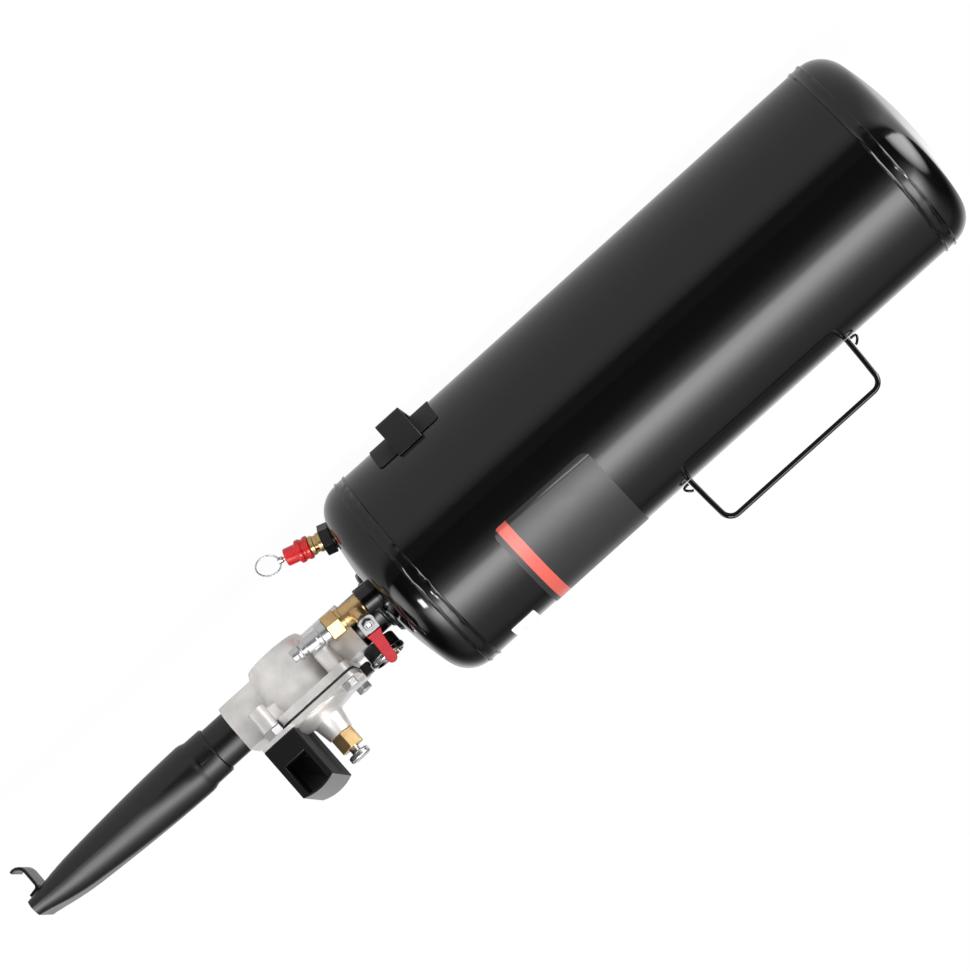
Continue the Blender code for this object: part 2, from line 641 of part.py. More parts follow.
cut(body,
    helper("inlet_bore", turned_mesh("inlet_bore", inlet_bore, PIPE_SEGMENTS), turn=ALONG),
    helper("outlet_bore", turned_mesh("outlet_bore", outlet_bore, PIPE_SEGMENTS), turn=ALONG),
    helper("seat_bore", turned_mesh("seat_bore", rod(SEAT_R, -3 * MM, 40 * MM), PIPE_SEGMENTS),
           place=(CHAMBER_X, 0, 0)),
    helper("ring_room", turned_mesh("ring_room", tube(ring_r, SEAT_R + SEAT_WALL, ring_low, 40 * MM),
                                    PIPE_SEGMENTS), place=(CHAMBER_X, 0, 0)),
    helper("ring_feed", prism_mesh("ring_feed", box(
        CHAMBER_X - ring_r + 1 * MM, CHAMBER_X - SEAT_R - SEAT_WALL - 2 * MM, -9 * MM, 9 * MM), 4 * MM,
        ring_low + 2 * MM)),
    pillars("bolt_holes", both_sides([REAR_BOLT]), BOLT_R + GAP, BONNET_TOP - BOLT_LENGTH - 1.5 * MM,
            60 * MM, 10),
    pillars("stud_holes", both_sides([FRONT_STUD]), BOLT_R + GAP,
            FRONT_BOSS_TOP - STUD_INTO_BOSS - 1 * MM, FRONT_BOSS_TOP + 1 * MM, 10))

diaphragm = prism("diaphragm", flange_outline(), DIAPHRAGM_LOW, DIAPHRAGM_LOW + DIAPHRAGM_T, "rubber",
                  holes=[circle(BOLT_R + GAP, 10, *spot) for spot in both_sides([REAR_BOLT])])
disc_r = SEAT_R - 1.5 * MM
turned("diaphragm_disc", rod(disc_r, FLANGE_TOP - 4 * MM, FLANGE_TOP), "steel", PIPE_SEGMENTS,
       place=(CHAMBER_X, 0, 0))

# ---- bonnet --------------------------------------------------------------------------------
bonnet = prism("bonnet", flange_outline(), BONNET_LOW, BONNET_TOP, "cast")
wings = helper("bonnet_wings", prism_mesh("bonnet_wings", rounded(
    WING_X0, WING_X1, -WING_HALF_W, WING_HALF_W, 2 * MM, 2), BONNET_LOW + 0.7 * MM,
    BONNET_TOP - 0.2 * MM))
dome_top = BONNET_TOP + DOME_RISE
dome = helper("bonnet_dome", turned_mesh("bonnet_dome", [
    (0.0, BONNET_TOP - 1 * MM), (DOME_R, BONNET_TOP - 1 * MM), (DOME_R, BONNET_TOP + 0.8 * MM),
    (DOME_R - 3 * MM, BONNET_TOP + 0.6 * DOME_RISE), (CONE_R0 + 3 * MM, dome_top),
    (CONE_R0, dome_top + 1.5 * MM), (CONE_R1, CONE_TOP), (0.0, CONE_TOP)], PIPE_SEGMENTS),
    place=(CHAMBER_X, 0, 0))
gauge_boss = helper("gauge_boss", prism_mesh("gauge_boss", box(
    FLANGE_X0 - 0.4 * MM, GAUGE_BOSS_X1 + 4 * MM, -GAUGE_BOSS_HALF_W, GAUGE_BOSS_HALF_W), BONNET_LOW + 0.6 * MM,
    GAUGE_BOSS_TOP))
gauge_port_z = GAUGE_BOSS_TOP - STEM_THREAD_R - 1.6 * MM
join(bonnet, wings, dome, gauge_boss)
spring_room_r = CONE_R0 - 2.5 * MM
spring_room_top = dome_top - 1 * MM
cut(bonnet,
    pillars("bonnet_bolt_holes", both_sides([REAR_BOLT, FRONT_STUD]), BOLT_R + GAP,
            BONNET_LOW - 1 * MM, BONNET_TOP + 1 * MM, 10),
    helper("gauge_port", turned_mesh("gauge_port", rod(
        STEM_THREAD_R + GAP, FLANGE_X0 - 2 * MM, FLANGE_X0 + 8.5 * MM), 12),
        place=(0, 0, gauge_port_z), turn=ALONG),
    helper("bonnet_room", turned_mesh("bonnet_room", [
        (0.0, BONNET_LOW - 1 * MM), (DOME_R - BONNET_WALL, BONNET_LOW - 1 * MM),
        (DOME_R - BONNET_WALL, BONNET_LOW + 1.5 * MM), (DOME_R - 8 * MM, BONNET_TOP + 0.2 * MM),
        (spring_room_r, BONNET_TOP + 1.6 * MM), (spring_room_r, spring_room_top),
        (PILOT_SHANK_R + GAP, spring_room_top + 1 * MM), (PILOT_SHANK_R + GAP, CONE_TOP + 2 * MM),
        (0.0, CONE_TOP + 2 * MM)], PIPE_SEGMENTS), place=(CHAMBER_X, 0, 0)))
wire("main_spring", coil_points(spring_room_r - 2.2 * MM, BONNET_LOW + 0.9 * MM,
                                spring_room_top - 1.2 * MM, 3.0, 9), 0.55 * MM, "steel", sides=0,
     place=(CHAMBER_X, 0, 0))

for name, side in (("bonnet_bolt_near", -1), ("bonnet_bolt_far", 1)):
    bolt = prism(name, hexagon(BOLT_AF, pi / 2), BONNET_TOP + GAP, BONNET_TOP + GAP + BOLT_HEAD,
                 "steel", place=(REAR_BOLT[0], side * REAR_BOLT[1], 0))
    join(bolt, helper(name + "_shank", turned_mesh(name + "_shank", rod(
        BOLT_R, BONNET_TOP - BOLT_LENGTH, BONNET_TOP + 2 * MM), 12),
        place=(REAR_BOLT[0], side * REAR_BOLT[1], 0)))
for name, side in (("front_stud_near", -1), ("front_stud_far", 1)):
    spot = (FRONT_STUD[0], side * FRONT_STUD[1], 0)
    stud = prism(name, hexagon(STUD_AF, pi / 2), FRONT_BOSS_TOP + GAP, BONNET_LOW + 0.7 * MM - GAP,
                 "steel", place=spot)
    join(stud, helper(name + "_rod", turned_mesh(name + "_rod", rod(
        BOLT_R, FRONT_BOSS_TOP - STUD_INTO_BOSS, GUARD_LOW + STUD_INTO_GUARD), 12), place=spot))

# ---- guard over the pilot button --------------------------------------------------------------
guard_x = (WING_X0 + WING_X1) / 2
guard_half = (WING_X1 - WING_X0) / 2


def crowned(half, side_top, crown, low, steps=8):
    """A block's section: flat below, with a top that rises in an arc."""
    r = (half ** 2 + crown ** 2) / (2 * crown)
    spread = asin(half / r)
    return ([(half, low)] + arc(0, side_top + crown - r, r, pi / 2 - spread, pi / 2 + spread, steps)
            + [(-half, low)])


ACROSS = axes((0, 0, 1), (0, -1, 0))        # local X = up, Z = -Y
section_turn = Matrix(((1, 0, 0), (0, 0, -1), (0, 1, 0))).to_euler()
guard = prism("guard", crowned(guard_half, GUARD_SIDE_TOP, GUARD_CROWN, GUARD_LOW),
              -WING_HALF_W, WING_HALF_W, "black_matte", place=(guard_x, 0, 0), turn=section_turn)
pocket_half = guard_half - POCKET_RIM
pocket = crowned(pocket_half, GUARD_SIDE_TOP + GUARD_CROWN * (1 - (pocket_half / guard_half) ** 2)
                 - POCKET_TOP_WALL, GUARD_CROWN * (pocket_half / guard_half) ** 2, POCKET_LOW)
for side in (1, -1):
    near = sorted((side * (WING_HALF_W - POCKET_DEPTH), side * (WING_HALF_W + 2 * MM)))
    cut(guard, helper("pocket_%s" % ("near" if side > 0 else "far"),
                      prism_mesh("pocket", pocket, *near), place=(guard_x, 0, 0), turn=section_turn))
cut(guard, pillars("guard_stud_holes", both_sides([FRONT_STUD]), BOLT_R + GAP, GUARD_LOW - 1 * MM,
                   GUARD_LOW + STUD_INTO_GUARD + 1 * MM, 10))

dome_gap = GAP + 0.1 * MM
cut(guard, helper("dome_clearance", turned_mesh("dome_clearance", [
    (0.0, BONNET_TOP - 2 * MM), (DOME_R + dome_gap, BONNET_TOP - 2 * MM),
    (DOME_R + dome_gap, BONNET_TOP + 0.8 * MM + dome_gap),
    (DOME_R - 3 * MM + dome_gap, BONNET_TOP + 0.6 * DOME_RISE + dome_gap),
    (CONE_R0 + 3 * MM + dome_gap, dome_top + dome_gap), (0.0, dome_top + dome_gap)], PIPE_SEGMENTS),
    place=(CHAMBER_X, 0, 0)))

# ---- pilot valve and its button ------------------------------------------------------------------
pilot_place = (CHAMBER_X, 0, 0)
pilot = prism("pilot_body", hexagon(PILOT_AF, pi / 2), PILOT_LOW, PILOT_TOP, "brass",
              place=pilot_place)
join(pilot, helper("pilot_shank", turned_mesh("pilot_shank", rod(
    PILOT_SHANK_R, PILOT_LOW - PILOT_SHANK, PILOT_LOW + 2 * MM)), place=pilot_place))
cut(pilot, helper("pilot_room", turned_mesh("pilot_room", [
    (0.0, PILOT_LOW - PILOT_SHANK - 1 * MM), (2.2 * MM, PILOT_LOW - PILOT_SHANK - 1 * MM),
    (2.2 * MM, PILOT_LOW + 0.8 * MM), (PILOT_SPRING_ROOM_R, PILOT_LOW + 0.8 * MM),
    (PILOT_SPRING_ROOM_R, PILOT_TOP - PILOT_WALL), (BUTTON_STEM_R + GAP, PILOT_TOP - PILOT_WALL),
    (BUTTON_STEM_R + GAP, PILOT_TOP + 1 * MM), (0.0, PILOT_TOP + 1 * MM)]), place=pilot_place))
collar_top = PILOT_TOP - PILOT_WALL - GAP
button = turned("pilot_button", [
    (0.0, PILOT_LOW - PILOT_SHANK + 4 * MM), (1.7 * MM, PILOT_LOW - PILOT_SHANK + 4 * MM),
    (1.7 * MM, collar_top - 1.2 * MM), (PILOT_SPRING_ROOM_R - 0.4 * MM, collar_top - 1.2 * MM),
    (PILOT_SPRING_ROOM_R - 0.4 * MM, collar_top), (BUTTON_STEM_R, collar_top),
    (BUTTON_STEM_R, BUTTON_LOW), (BUTTON_R - 0.6 * MM, BUTTON_LOW), (BUTTON_R, BUTTON_LOW + 0.6 * MM),
    (BUTTON_R, BUTTON_LOW + BUTTON_H - 0.8 * MM), (BUTTON_R - 0.8 * MM, BUTTON_LOW + BUTTON_H),
    (0.0, BUTTON_LOW + BUTTON_H)], "steel", SMALL_SEGMENTS, place=pilot_place)
pilot_wire = 0.45 * MM
wire("pilot_spring", coil_points(3.6 * MM, PILOT_LOW + 0.8 * MM + GAP + pilot_wire,
                                 collar_top - 1.2 * MM - GAP - pilot_wire, 3.5, 8),
     pilot_wire, "steel", sides=0, place=pilot_place)

# ---- pressure gauge --------------------------------------------------------------------------------
gauge = frame("gauge_axis", (GAUGE_X, 0, GAUGE_LOW), parent=tank)
case_in = GAUGE_CASE_R - GAUGE_WALL
dial_z = GAUGE_CASE_H - 1.2 * MM
spindle_r = 0.7 * MM
turned("gauge_case", [(0.0, 0.0), (GAUGE_CASE_R - 1 * MM, 0.0), (GAUGE_CASE_R, 1 * MM),
                      (GAUGE_CASE_R, GAUGE_CASE_H), (case_in, GAUGE_CASE_H), (case_in, GAUGE_WALL),
                      (0.0, GAUGE_WALL)], "black_matte", PIPE_SEGMENTS, parent=gauge)
turned("gauge_dial", tube(case_in - GAP, spindle_r + 0.4 * MM, dial_z - 0.8 * MM, dial_z), "white",
       PIPE_SEGMENTS, parent=gauge)
pointer = prism("gauge_pointer", [(-2.6 * MM, -0.6 * MM), (8.4 * MM, -0.25 * MM), (8.4 * MM, 0.25 * MM),
                                  (-2.6 * MM, 0.6 * MM)], dial_z + 0.5 * MM, dial_z + 1.0 * MM,
                "black_matte", parent=gauge)
join(pointer, helper("pointer_spindle", turned_mesh("pointer_spindle", [
    (0.0, GAUGE_WALL + GAP), (spindle_r, GAUGE_WALL + GAP), (spindle_r, dial_z + 0.3 * MM),
    (1.3 * MM, dial_z + 0.3 * MM), (1.3 * MM, dial_z + 1.3 * MM), (0.0, dial_z + 1.3 * MM)], 12),
    parent=gauge))
lens_low = GAUGE_CASE_H + 1.0 * MM
lens_top = lens_low + 1.0 * MM
lens_r = BEZEL_R - 1.6 * MM
turned("gauge_lens", rod(lens_r, lens_low, lens_top), "glass", PIPE_SEGMENTS, parent=gauge)
bezel_low = GAUGE_CASE_H + GAP
turned("gauge_bezel", [
    (lens_r - 1.2 * MM, lens_top + GAP), (lens_r + GAP, lens_top + GAP), (lens_r + GAP, bezel_low),
    (BEZEL_R, bezel_low), (BEZEL_R, bezel_low + BEZEL_H - 1.4 * MM),
    (BEZEL_R - 1.0 * MM, bezel_low + BEZEL_H - 0.4 * MM), (BEZEL_R - 2.0 * MM, bezel_low + BEZEL_H)],
    "chrome", PIPE_SEGMENTS, parent=gauge)
block_x0 = GAUGE_X + BEZEL_R + 0.5 * MM
block_x1 = FLANGE_X0 - 0.4 * MM - GAP
block_mid_z = gauge_port_z - 0.6 * MM
stem = prism("gauge_stem", [(x, z) for x, z in box(block_x0, block_x1, block_mid_z - STEM_BLOCK / 2,
                                                    block_mid_z + STEM_BLOCK / 2)],
             -STEM_BLOCK / 2, STEM_BLOCK / 2, "black_matte", turn=section_turn)
join(stem, helper("stem_neck", prism_mesh("stem_neck", box(
    GAUGE_X + GAUGE_CASE_R + GAP, block_x0 + 1 * MM, -3 * MM, 3 * MM),
    block_mid_z - STEM_BLOCK / 2 + 0.5 * MM, GAUGE_LOW + GAUGE_CASE_H - 0.4 * MM)),
    helper("stem_thread", turned_mesh("stem_thread", rod(
        STEM_THREAD_R, block_x1 - 1 * MM, FLANGE_X0 + 7.5 * MM), 12), place=(0, 0, gauge_port_z),
        turn=ALONG))

# ---- filling valve: boss, ball valve, lever and plug -------------------------------------------------
fill_dir = Vector((cos(FILL_YAW) * cos(FILL_PITCH), -sin(FILL_YAW) * cos(FILL_PITCH), -sin(FILL_PITCH)))
fill = frame("fill_axis", (head_x(sqrt(FILL_Y ** 2 + FILL_Z ** 2)), FILL_Y, FILL_Z),
             axes(fill_dir, (0, 0, 1)), tank)
turned("fill_boss", tube(FILL_BOSS_R, VALVE_SHANK_R + GAP, -FILL_BOSS_IN, FILL_BOSS_OUT),
       "black_gloss", PIPE_SEGMENTS, parent=fill, turn=ALONG)
fill_hole = helper("fill_hole", turned_mesh("fill_hole", rod(
    FILL_BOSS_R + GAP, -14 * MM, 12 * MM), PIPE_SEGMENTS), parent=fill, turn=ALONG)
cut(front_head, fill_hole)
cut(bung, fill_hole)      # the two bosses are set so close that one is scalloped
valve = frame("ball_valve_face", (FILL_BOSS_OUT + GAP, 0, 0), parent=fill)
chamber_r = VALVE_BODY_R - CHAMBER_WALL
end_face = VALVE_LENGTH - END_HEX
seat_off = sqrt(BALL_R ** 2 - SEAT_BORE_R ** 2) + GAP
seat_rear_x1 = BALL_AT - seat_off
seat_front_x0 = BALL_AT + seat_off
seat_t = 1.5 * MM
valve_body = turned("ball_valve_body", [
    (BALL_BORE_R, -FILL_BOSS_OUT + 2 * MM), (VALVE_SHANK_R, -FILL_BOSS_OUT + 2 * MM),
    (VALVE_SHANK_R, 0.0), (VALVE_FLANGE_R, 0.0), (VALVE_FLANGE_R, 2.2 * MM),
    (VALVE_BODY_R, 2.6 * MM), (VALVE_BODY_R, end_face - 3 * MM), (VALVE_BODY_R + 0.5 * MM, end_face - 2.6 * MM),
    (VALVE_BODY_R + 0.5 * MM, end_face - GAP),
    (chamber_r, end_face - GAP), (chamber_r, seat_rear_x1 - seat_t - GAP),
    (BALL_BORE_R, seat_rear_x1 - seat_t - GAP)], "brass", PIPE_SEGMENTS, parent=valve, turn=ALONG)
stem_dir = Vector((0, -cos(LEVER_ANGLE), sin(LEVER_ANGLE)))
lever_dir = Vector((0, sin(LEVER_ANGLE), cos(LEVER_ANGLE)))
stem_axes = Matrix((lever_dir, stem_dir.cross(lever_dir), stem_dir)).transposed()
lever = frame("lever_axis", (BALL_AT, 0, 0), stem_axes, valve)   # local Z = stem, X = lever
join(valve_body, helper("valve_gland", turned_mesh("valve_gland", [
    (0.0, chamber_r + 0.3 * MM), (GLAND_R + 1 * MM, chamber_r + 0.3 * MM), (GLAND_R + 1 * MM, 10 * MM),
    (GLAND_R, 11 * MM), (GLAND_R, GLAND_OUT), (0.0, GLAND_OUT)]), parent=lever))
cut(valve_body, helper("stem_hole", turned_mesh("stem_hole", rod(
    STEM_R + GAP, BALL_R - 1 * MM, GLAND_OUT + 2 * MM), 12), parent=lever))
ball_mesh = turned_mesh("valve_ball", [(BALL_R * sin(pi * i / 8) if i % 8 else 0.0,
                                        -BALL_R * cos(pi * i / 8)) for i in range(9)], 16)
ball = finish("valve_ball", ball_mesh, "chrome", parent=lever, turn=ALONG)
slot_w, slot_deep = 1.6 * MM, 1.5 * MM
cut(ball, helper("ball_bore", turned_mesh("ball_bore", rod(BALL_BORE_R, -8 * MM, 8 * MM), 12),
                 parent=lever, turn=ALONG),
    helper("ball_slot", prism_mesh("ball_slot", box(-6 * MM, 6 * MM, -slot_w / 2, slot_w / 2),
                                   BALL_R - slot_deep, BALL_R + 2 * MM), parent=lever))
turned("seat_rear", tube(chamber_r - GAP, SEAT_BORE_R, seat_rear_x1 - seat_t, seat_rear_x1), "white",
       parent=valve, turn=ALONG)
turned("seat_front", tube(chamber_r - GAP, SEAT_BORE_R, seat_front_x0, seat_front_x0 + seat_t), "white",
       parent=valve, turn=ALONG)
end = prism("ball_valve_end", hexagon(END_HEX_AF, pi / 6), end_face, VALVE_LENGTH, "brass",
            parent=valve, turn=ALONG)
join(end, helper("end_shank", turned_mesh("end_shank", rod(
    chamber_r - GAP, seat_front_x0 + seat_t + GAP, end_face + 1 * MM)), parent=valve, turn=ALONG))
cut(end, helper("end_bore", turned_mesh("end_bore", [
    (0.0, 0.0), (BALL_BORE_R, 0.0), (BALL_BORE_R, VALVE_LENGTH - PLUG_SHANK - 0.6 * MM),
    (PLUG_SHANK_R + GAP, VALVE_LENGTH - PLUG_SHANK - 0.6 * MM),
    (PLUG_SHANK_R + GAP, VALVE_LENGTH + 2 * MM), (0.0, VALVE_LENGTH + 2 * MM)]),
    parent=valve, turn=ALONG))
plate_low = LEVER_OUT - LEVER_T / 2
plate_top = LEVER_OUT + LEVER_T / 2
stem_top = plate_top + 0.4 * MM
valve_stem = turned("valve_stem", rod(STEM_R, BALL_R + 0.2 * MM, plate_low - GAP), "steel", 12, parent=lever)
join(valve_stem, helper("stem_tang", prism_mesh("stem_tang", box(
    -1.5 * MM, 1.5 * MM, -slot_w / 2 + 0.2 * MM, slot_w / 2 - 0.2 * MM), BALL_R - slot_deep + GAP,
    BALL_R + 1 * MM), parent=lever),
    helper("stem_square", prism_mesh("stem_square", box(-1.2 * MM, 1.2 * MM, -1.2 * MM, 1.2 * MM),
                                     plate_low - 1 * MM, plate_top + 2.4 * MM), parent=lever))
plate_w = PLATE_W
square = 1.2 * MM + GAP
prism("lever_plate", [(-5.6 * MM, -plate_w / 2 + 3.0 * MM), (-4.6 * MM, -plate_w / 2 + 1.0 * MM),
                      (-2.6 * MM, -plate_w / 2), (LEVER_GRIP_FROM - 1.5 * MM, -plate_w / 2),
                      (LEVER_GRIP_FROM - GAP, -GRIP_W0 / 2), (LEVER_GRIP_FROM - GAP, -3 * MM),
                      (LEVER_LENGTH - 9 * MM, -2 * MM), (LEVER_LENGTH - 9 * MM, 2 * MM),
                      (LEVER_GRIP_FROM - GAP, 3 * MM), (LEVER_GRIP_FROM - GAP, GRIP_W0 / 2),
                      (LEVER_GRIP_FROM - 1.5 * MM, plate_w / 2), (-2.6 * MM, plate_w / 2),
                      (-4.6 * MM, plate_w / 2 - 1.0 * MM), (-5.6 * MM, plate_w / 2 - 3.0 * MM)],
      plate_low, plate_top, "chrome", holes=[box(-square, square, -square, square)], parent=lever)
tip = GRIP_W1 / 2 + 0.2 * MM
grip = prism("lever_grip", [(LEVER_GRIP_FROM, GRIP_W0 / 2), (LEVER_GRIP_FROM, -GRIP_W0 / 2),
                            (LEVER_GRIP_FROM + 5 * MM, -GRIP_W1 / 2 - 0.8 * MM)]
             + arc(LEVER_LENGTH - tip, 0, tip, -pi / 2, pi / 2, 6)
             + [(LEVER_GRIP_FROM + 5 * MM, GRIP_W1 / 2 + 0.8 * MM)],
             LEVER_OUT - GRIP_T / 2, LEVER_OUT + GRIP_T / 2, "red", parent=lever)
cut(grip, helper("grip_slot", prism_mesh("grip_slot", [
    (LEVER_GRIP_FROM - 2 * MM, -3 * MM - 2 * GAP), (LEVER_LENGTH - 9 * MM + GAP, -2 * MM - GAP),
    (LEVER_LENGTH - 9 * MM + GAP, 2 * MM + GAP), (LEVER_GRIP_FROM - 2 * MM, 3 * MM + 2 * GAP)],
    plate_low - GAP, plate_top + GAP), parent=lever))
prism("lever_nut", hexagon(LEVER_NUT_AF), plate_top + GAP, plate_top + GAP + 2.6 * MM, "steel",
      holes=[box(-square, square, -square, square)], parent=lever)
plug = frame("plug_face", (VALVE_LENGTH + GAP, 0, 0), parent=valve)
turned("quick_connect_plug", [
    (PLUG_BORE_R, -PLUG_SHANK), (PLUG_SHANK_R, -PLUG_SHANK), (PLUG_SHANK_R, 0.0), (7.6 * MM, 0.0),
    (7.6 * MM, 5.2 * MM), (5.6 * MM, 6.2 * MM), (5.6 * MM, 8.6 * MM), (5.9 * MM, 9.0 * MM),
    (5.9 * MM, 17.5 * MM), (4.4 * MM, 18.6 * MM), (4.4 * MM, 21.4 * MM), (5.7 * MM, 22.6 * MM),
    (5.7 * MM, 24.0 * MM), (4.6 * MM, 25.4 * MM), (4.6 * MM, PLUG_LENGTH - 0.6 * MM),
    (4.0 * MM, PLUG_LENGTH), (PLUG_BORE_R, PLUG_LENGTH)], "steel", parent=plug, turn=ALONG)

# ---- relief valve ----------------------------------------------------------------------------------
relief_dir = Vector((cos(RELIEF_PITCH), 0, -sin(RELIEF_PITCH)))
relief = frame("relief_axis", (head_x(abs(RELIEF_Z)), 0, RELIEF_Z), axes(relief_dir, (0, 0, 1)), tank)
hex_out = RELIEF_NECK_OUT + RELIEF_HEX
boss = prism("relief_boss", hexagon(RELIEF_HEX_AF), RELIEF_NECK_OUT, hex_out, "black_satin",
             parent=relief, turn=ALONG)
join(boss, helper("boss_neck", turned_mesh("boss_neck", rod(
    RELIEF_NECK_R, -RELIEF_NECK_IN, RELIEF_NECK_OUT + 1 * MM)), parent=relief, turn=ALONG))
cut(boss, helper("boss_bore", turned_mesh("boss_bore", rod(
    RELIEF_SHANK_R + GAP, -20 * MM, 20 * MM)), parent=relief, turn=ALONG))
cut(front_head, helper("relief_hole", turned_mesh("relief_hole", rod(
    RELIEF_NECK_R + GAP, -10 * MM, 10 * MM)), parent=relief, turn=ALONG))
body_x0 = hex_out + GAP
body_x1 = body_x0 + RELIEF_BODY
seat_x = body_x0 + 1.5 * MM
relief_body = turned("relief_body", [
    (2.4 * MM, -RELIEF_NECK_IN + 1 * MM), (RELIEF_SHANK_R, -RELIEF_NECK_IN + 1 * MM),
    (RELIEF_SHANK_R, body_x0), (RELIEF_BODY_R, body_x0), (RELIEF_BODY_R, body_x0 + 2.6 * MM),
    (RELIEF_BODY_R - 0.8 * MM, body_x0 + 3.0 * MM), (RELIEF_BODY_R - 0.8 * MM, body_x0 + 5.4 * MM),
    (RELIEF_BODY_R, body_x0 + 5.8 * MM), (RELIEF_BODY_R, body_x1), (RELIEF_BORE_R, body_x1),
    (RELIEF_BORE_R, seat_x), (2.4 * MM, seat_x)], "brass", parent=relief, turn=ALONG)
cut(relief_body, helper("relief_windows", prism_mesh("relief_windows", box(
    body_x0 + 3.2 * MM, body_x0 + 5.2 * MM, -1.2 * MM, 1.2 * MM), -12 * MM, 12 * MM), parent=relief,
    turn=axes((1, 0, 0), (0, -sin(PULL_RING_TURN), cos(PULL_RING_TURN))).to_euler()))
cap_x0 = body_x1 + GAP
cap_mid = cap_x0 + CAP_RING
cap_x1 = cap_mid + CAP_END
cap_room_x1 = cap_x1 - 3.2 * MM
turned("relief_cap", [
    (RELIEF_BORE_R + 0.3 * MM, cap_x0), (CAP_RING_R - 0.6 * MM, cap_x0), (CAP_RING_R, cap_x0 + 0.6 * MM),
    (CAP_RING_R, cap_x0 + 2.9 * MM), (CAP_RING_R - 0.9 * MM, cap_x0 + 3.6 * MM),
    (CAP_RING_R - 0.9 * MM, cap_x0 + 5.4 * MM), (CAP_RING_R, cap_x0 + 6.1 * MM),
    (CAP_RING_R, cap_mid - 1.2 * MM), (CAP_END_R, cap_mid), (CAP_END_R, cap_x1 - 0.7 * MM),
    (CAP_END_R - 0.7 * MM, cap_x1), (RELIEF_STEM_R + GAP, cap_x1), (RELIEF_STEM_R + GAP, cap_room_x1),
    (RELIEF_BORE_R + 0.3 * MM, cap_room_x1)], "red", parent=relief, turn=ALONG)
disc_x0 = seat_x + GAP
disc_x1 = disc_x0 + 1.6 * MM
stem_end = cap_x1 + RELIEF_EYE_OUT
relief_stem = turned("relief_stem", [
    (0.0, disc_x0), (RELIEF_BORE_R - GAP, disc_x0), (RELIEF_BORE_R - GAP, disc_x1),
    (RELIEF_STEM_R, disc_x1), (RELIEF_STEM_R, cap_x1 + 1.5 * MM), (2.3 * MM, cap_x1 + 2.0 * MM),
    (2.3 * MM, stem_end - 0.6 * MM), (1.7 * MM, stem_end), (0.0, stem_end)], "steel", 12,
    parent=relief, turn=ALONG)
eye_x = cap_x1 + 0.5 * (2.0 * MM + RELIEF_EYE_OUT) + 0.4 * MM
ring_clear = PULL_WIRE_R + 0.35 * MM
# the ring's plane holds the valve's axis; its hole lies across, turned about that axis
ring_axes = Matrix((Vector((1, 0, 0)), Vector((0, cos(PULL_RING_TURN), sin(PULL_RING_TURN))),
                    Vector((0, -sin(PULL_RING_TURN), cos(PULL_RING_TURN))))).transposed()
ring_pivot = frame("pull_ring_axis", (eye_x, 0, 0), ring_axes, relief)
cut(relief_stem, helper("eye_hole", turned_mesh("eye_hole", rod(ring_clear, -5 * MM, 5 * MM), 10),
                        parent=ring_pivot, turn=axes((0, 0, 1), (0, 1, 0)).to_euler()))
ring_points = [(PULL_RING_R - PULL_RING_R * cos(2 * pi * i / 24), PULL_RING_R * sin(2 * pi * i / 24), 0)
               for i in range(24)]
wire("pull_ring", ring_points, PULL_WIRE_R, "steel", closed=True, sides=1, parent=ring_pivot)
relief_wire = 0.4 * MM
relief_coil_r = 0.5 * (RELIEF_STEM_R + RELIEF_BORE_R)
spring_x0 = disc_x1 + RELIEF_LIFT + GAP + relief_wire     # leaves the disc its lift
spring_x1 = cap_room_x1 - GAP - relief_wire
wire("relief_spring", [(z, y, -x) for x, y, z in coil_points(relief_coil_r, spring_x0, spring_x1, 4.0, 8)],
     relief_wire, "steel", sides=0, parent=relief)

# ---- nozzle, its pipe and the hook -------------------------------------------------------------------
turned("nozzle_pipe", tube(NOZZLE_PIPE_R, NOZZLE_PIPE_R - PIPE_WALL + 0.2 * MM,
                           BODY_X1 - SOCKET_DEPTH + GAP, COLLAR_END_X - 2 * MM), "black_satin",
       PIPE_SEGMENTS, turn=ALONG)
LOFT_POINTS = 28


def stadium(half_h, half_w, count):
    """Points spaced evenly round a slot with round ends, starting mid-top."""
    flat = half_w - half_h
    total = 4 * flat + 2 * pi * half_h
    points = []
    for i in range(count):
        run = (i / count) * total
        for length, kind in ((flat, 0), (pi * half_h, 1), (2 * flat, 2), (pi * half_h, 3), (flat, 4)):
            if run < length or kind == 4:
                break
            run -= length
        if kind == 0:
            points.append((run, half_h))
        elif kind == 1:
            a = pi / 2 - run / half_h
            points.append((flat + half_h * cos(a), half_h * sin(a)))
        elif kind == 2:
            points.append((flat - run, -half_h))
        elif kind == 3:
            a = -pi / 2 - run / half_h
            points.append((-flat + half_h * cos(a), half_h * sin(a)))
        else:
            points.append((-flat + run, half_h))
    return points


def half_width(half_h):
    """Half width of a slot as long round its edge as the round sleeve."""
    return max(half_h, half_h + (2 * pi * NOZZLE_R - 2 * pi * half_h) / 4)


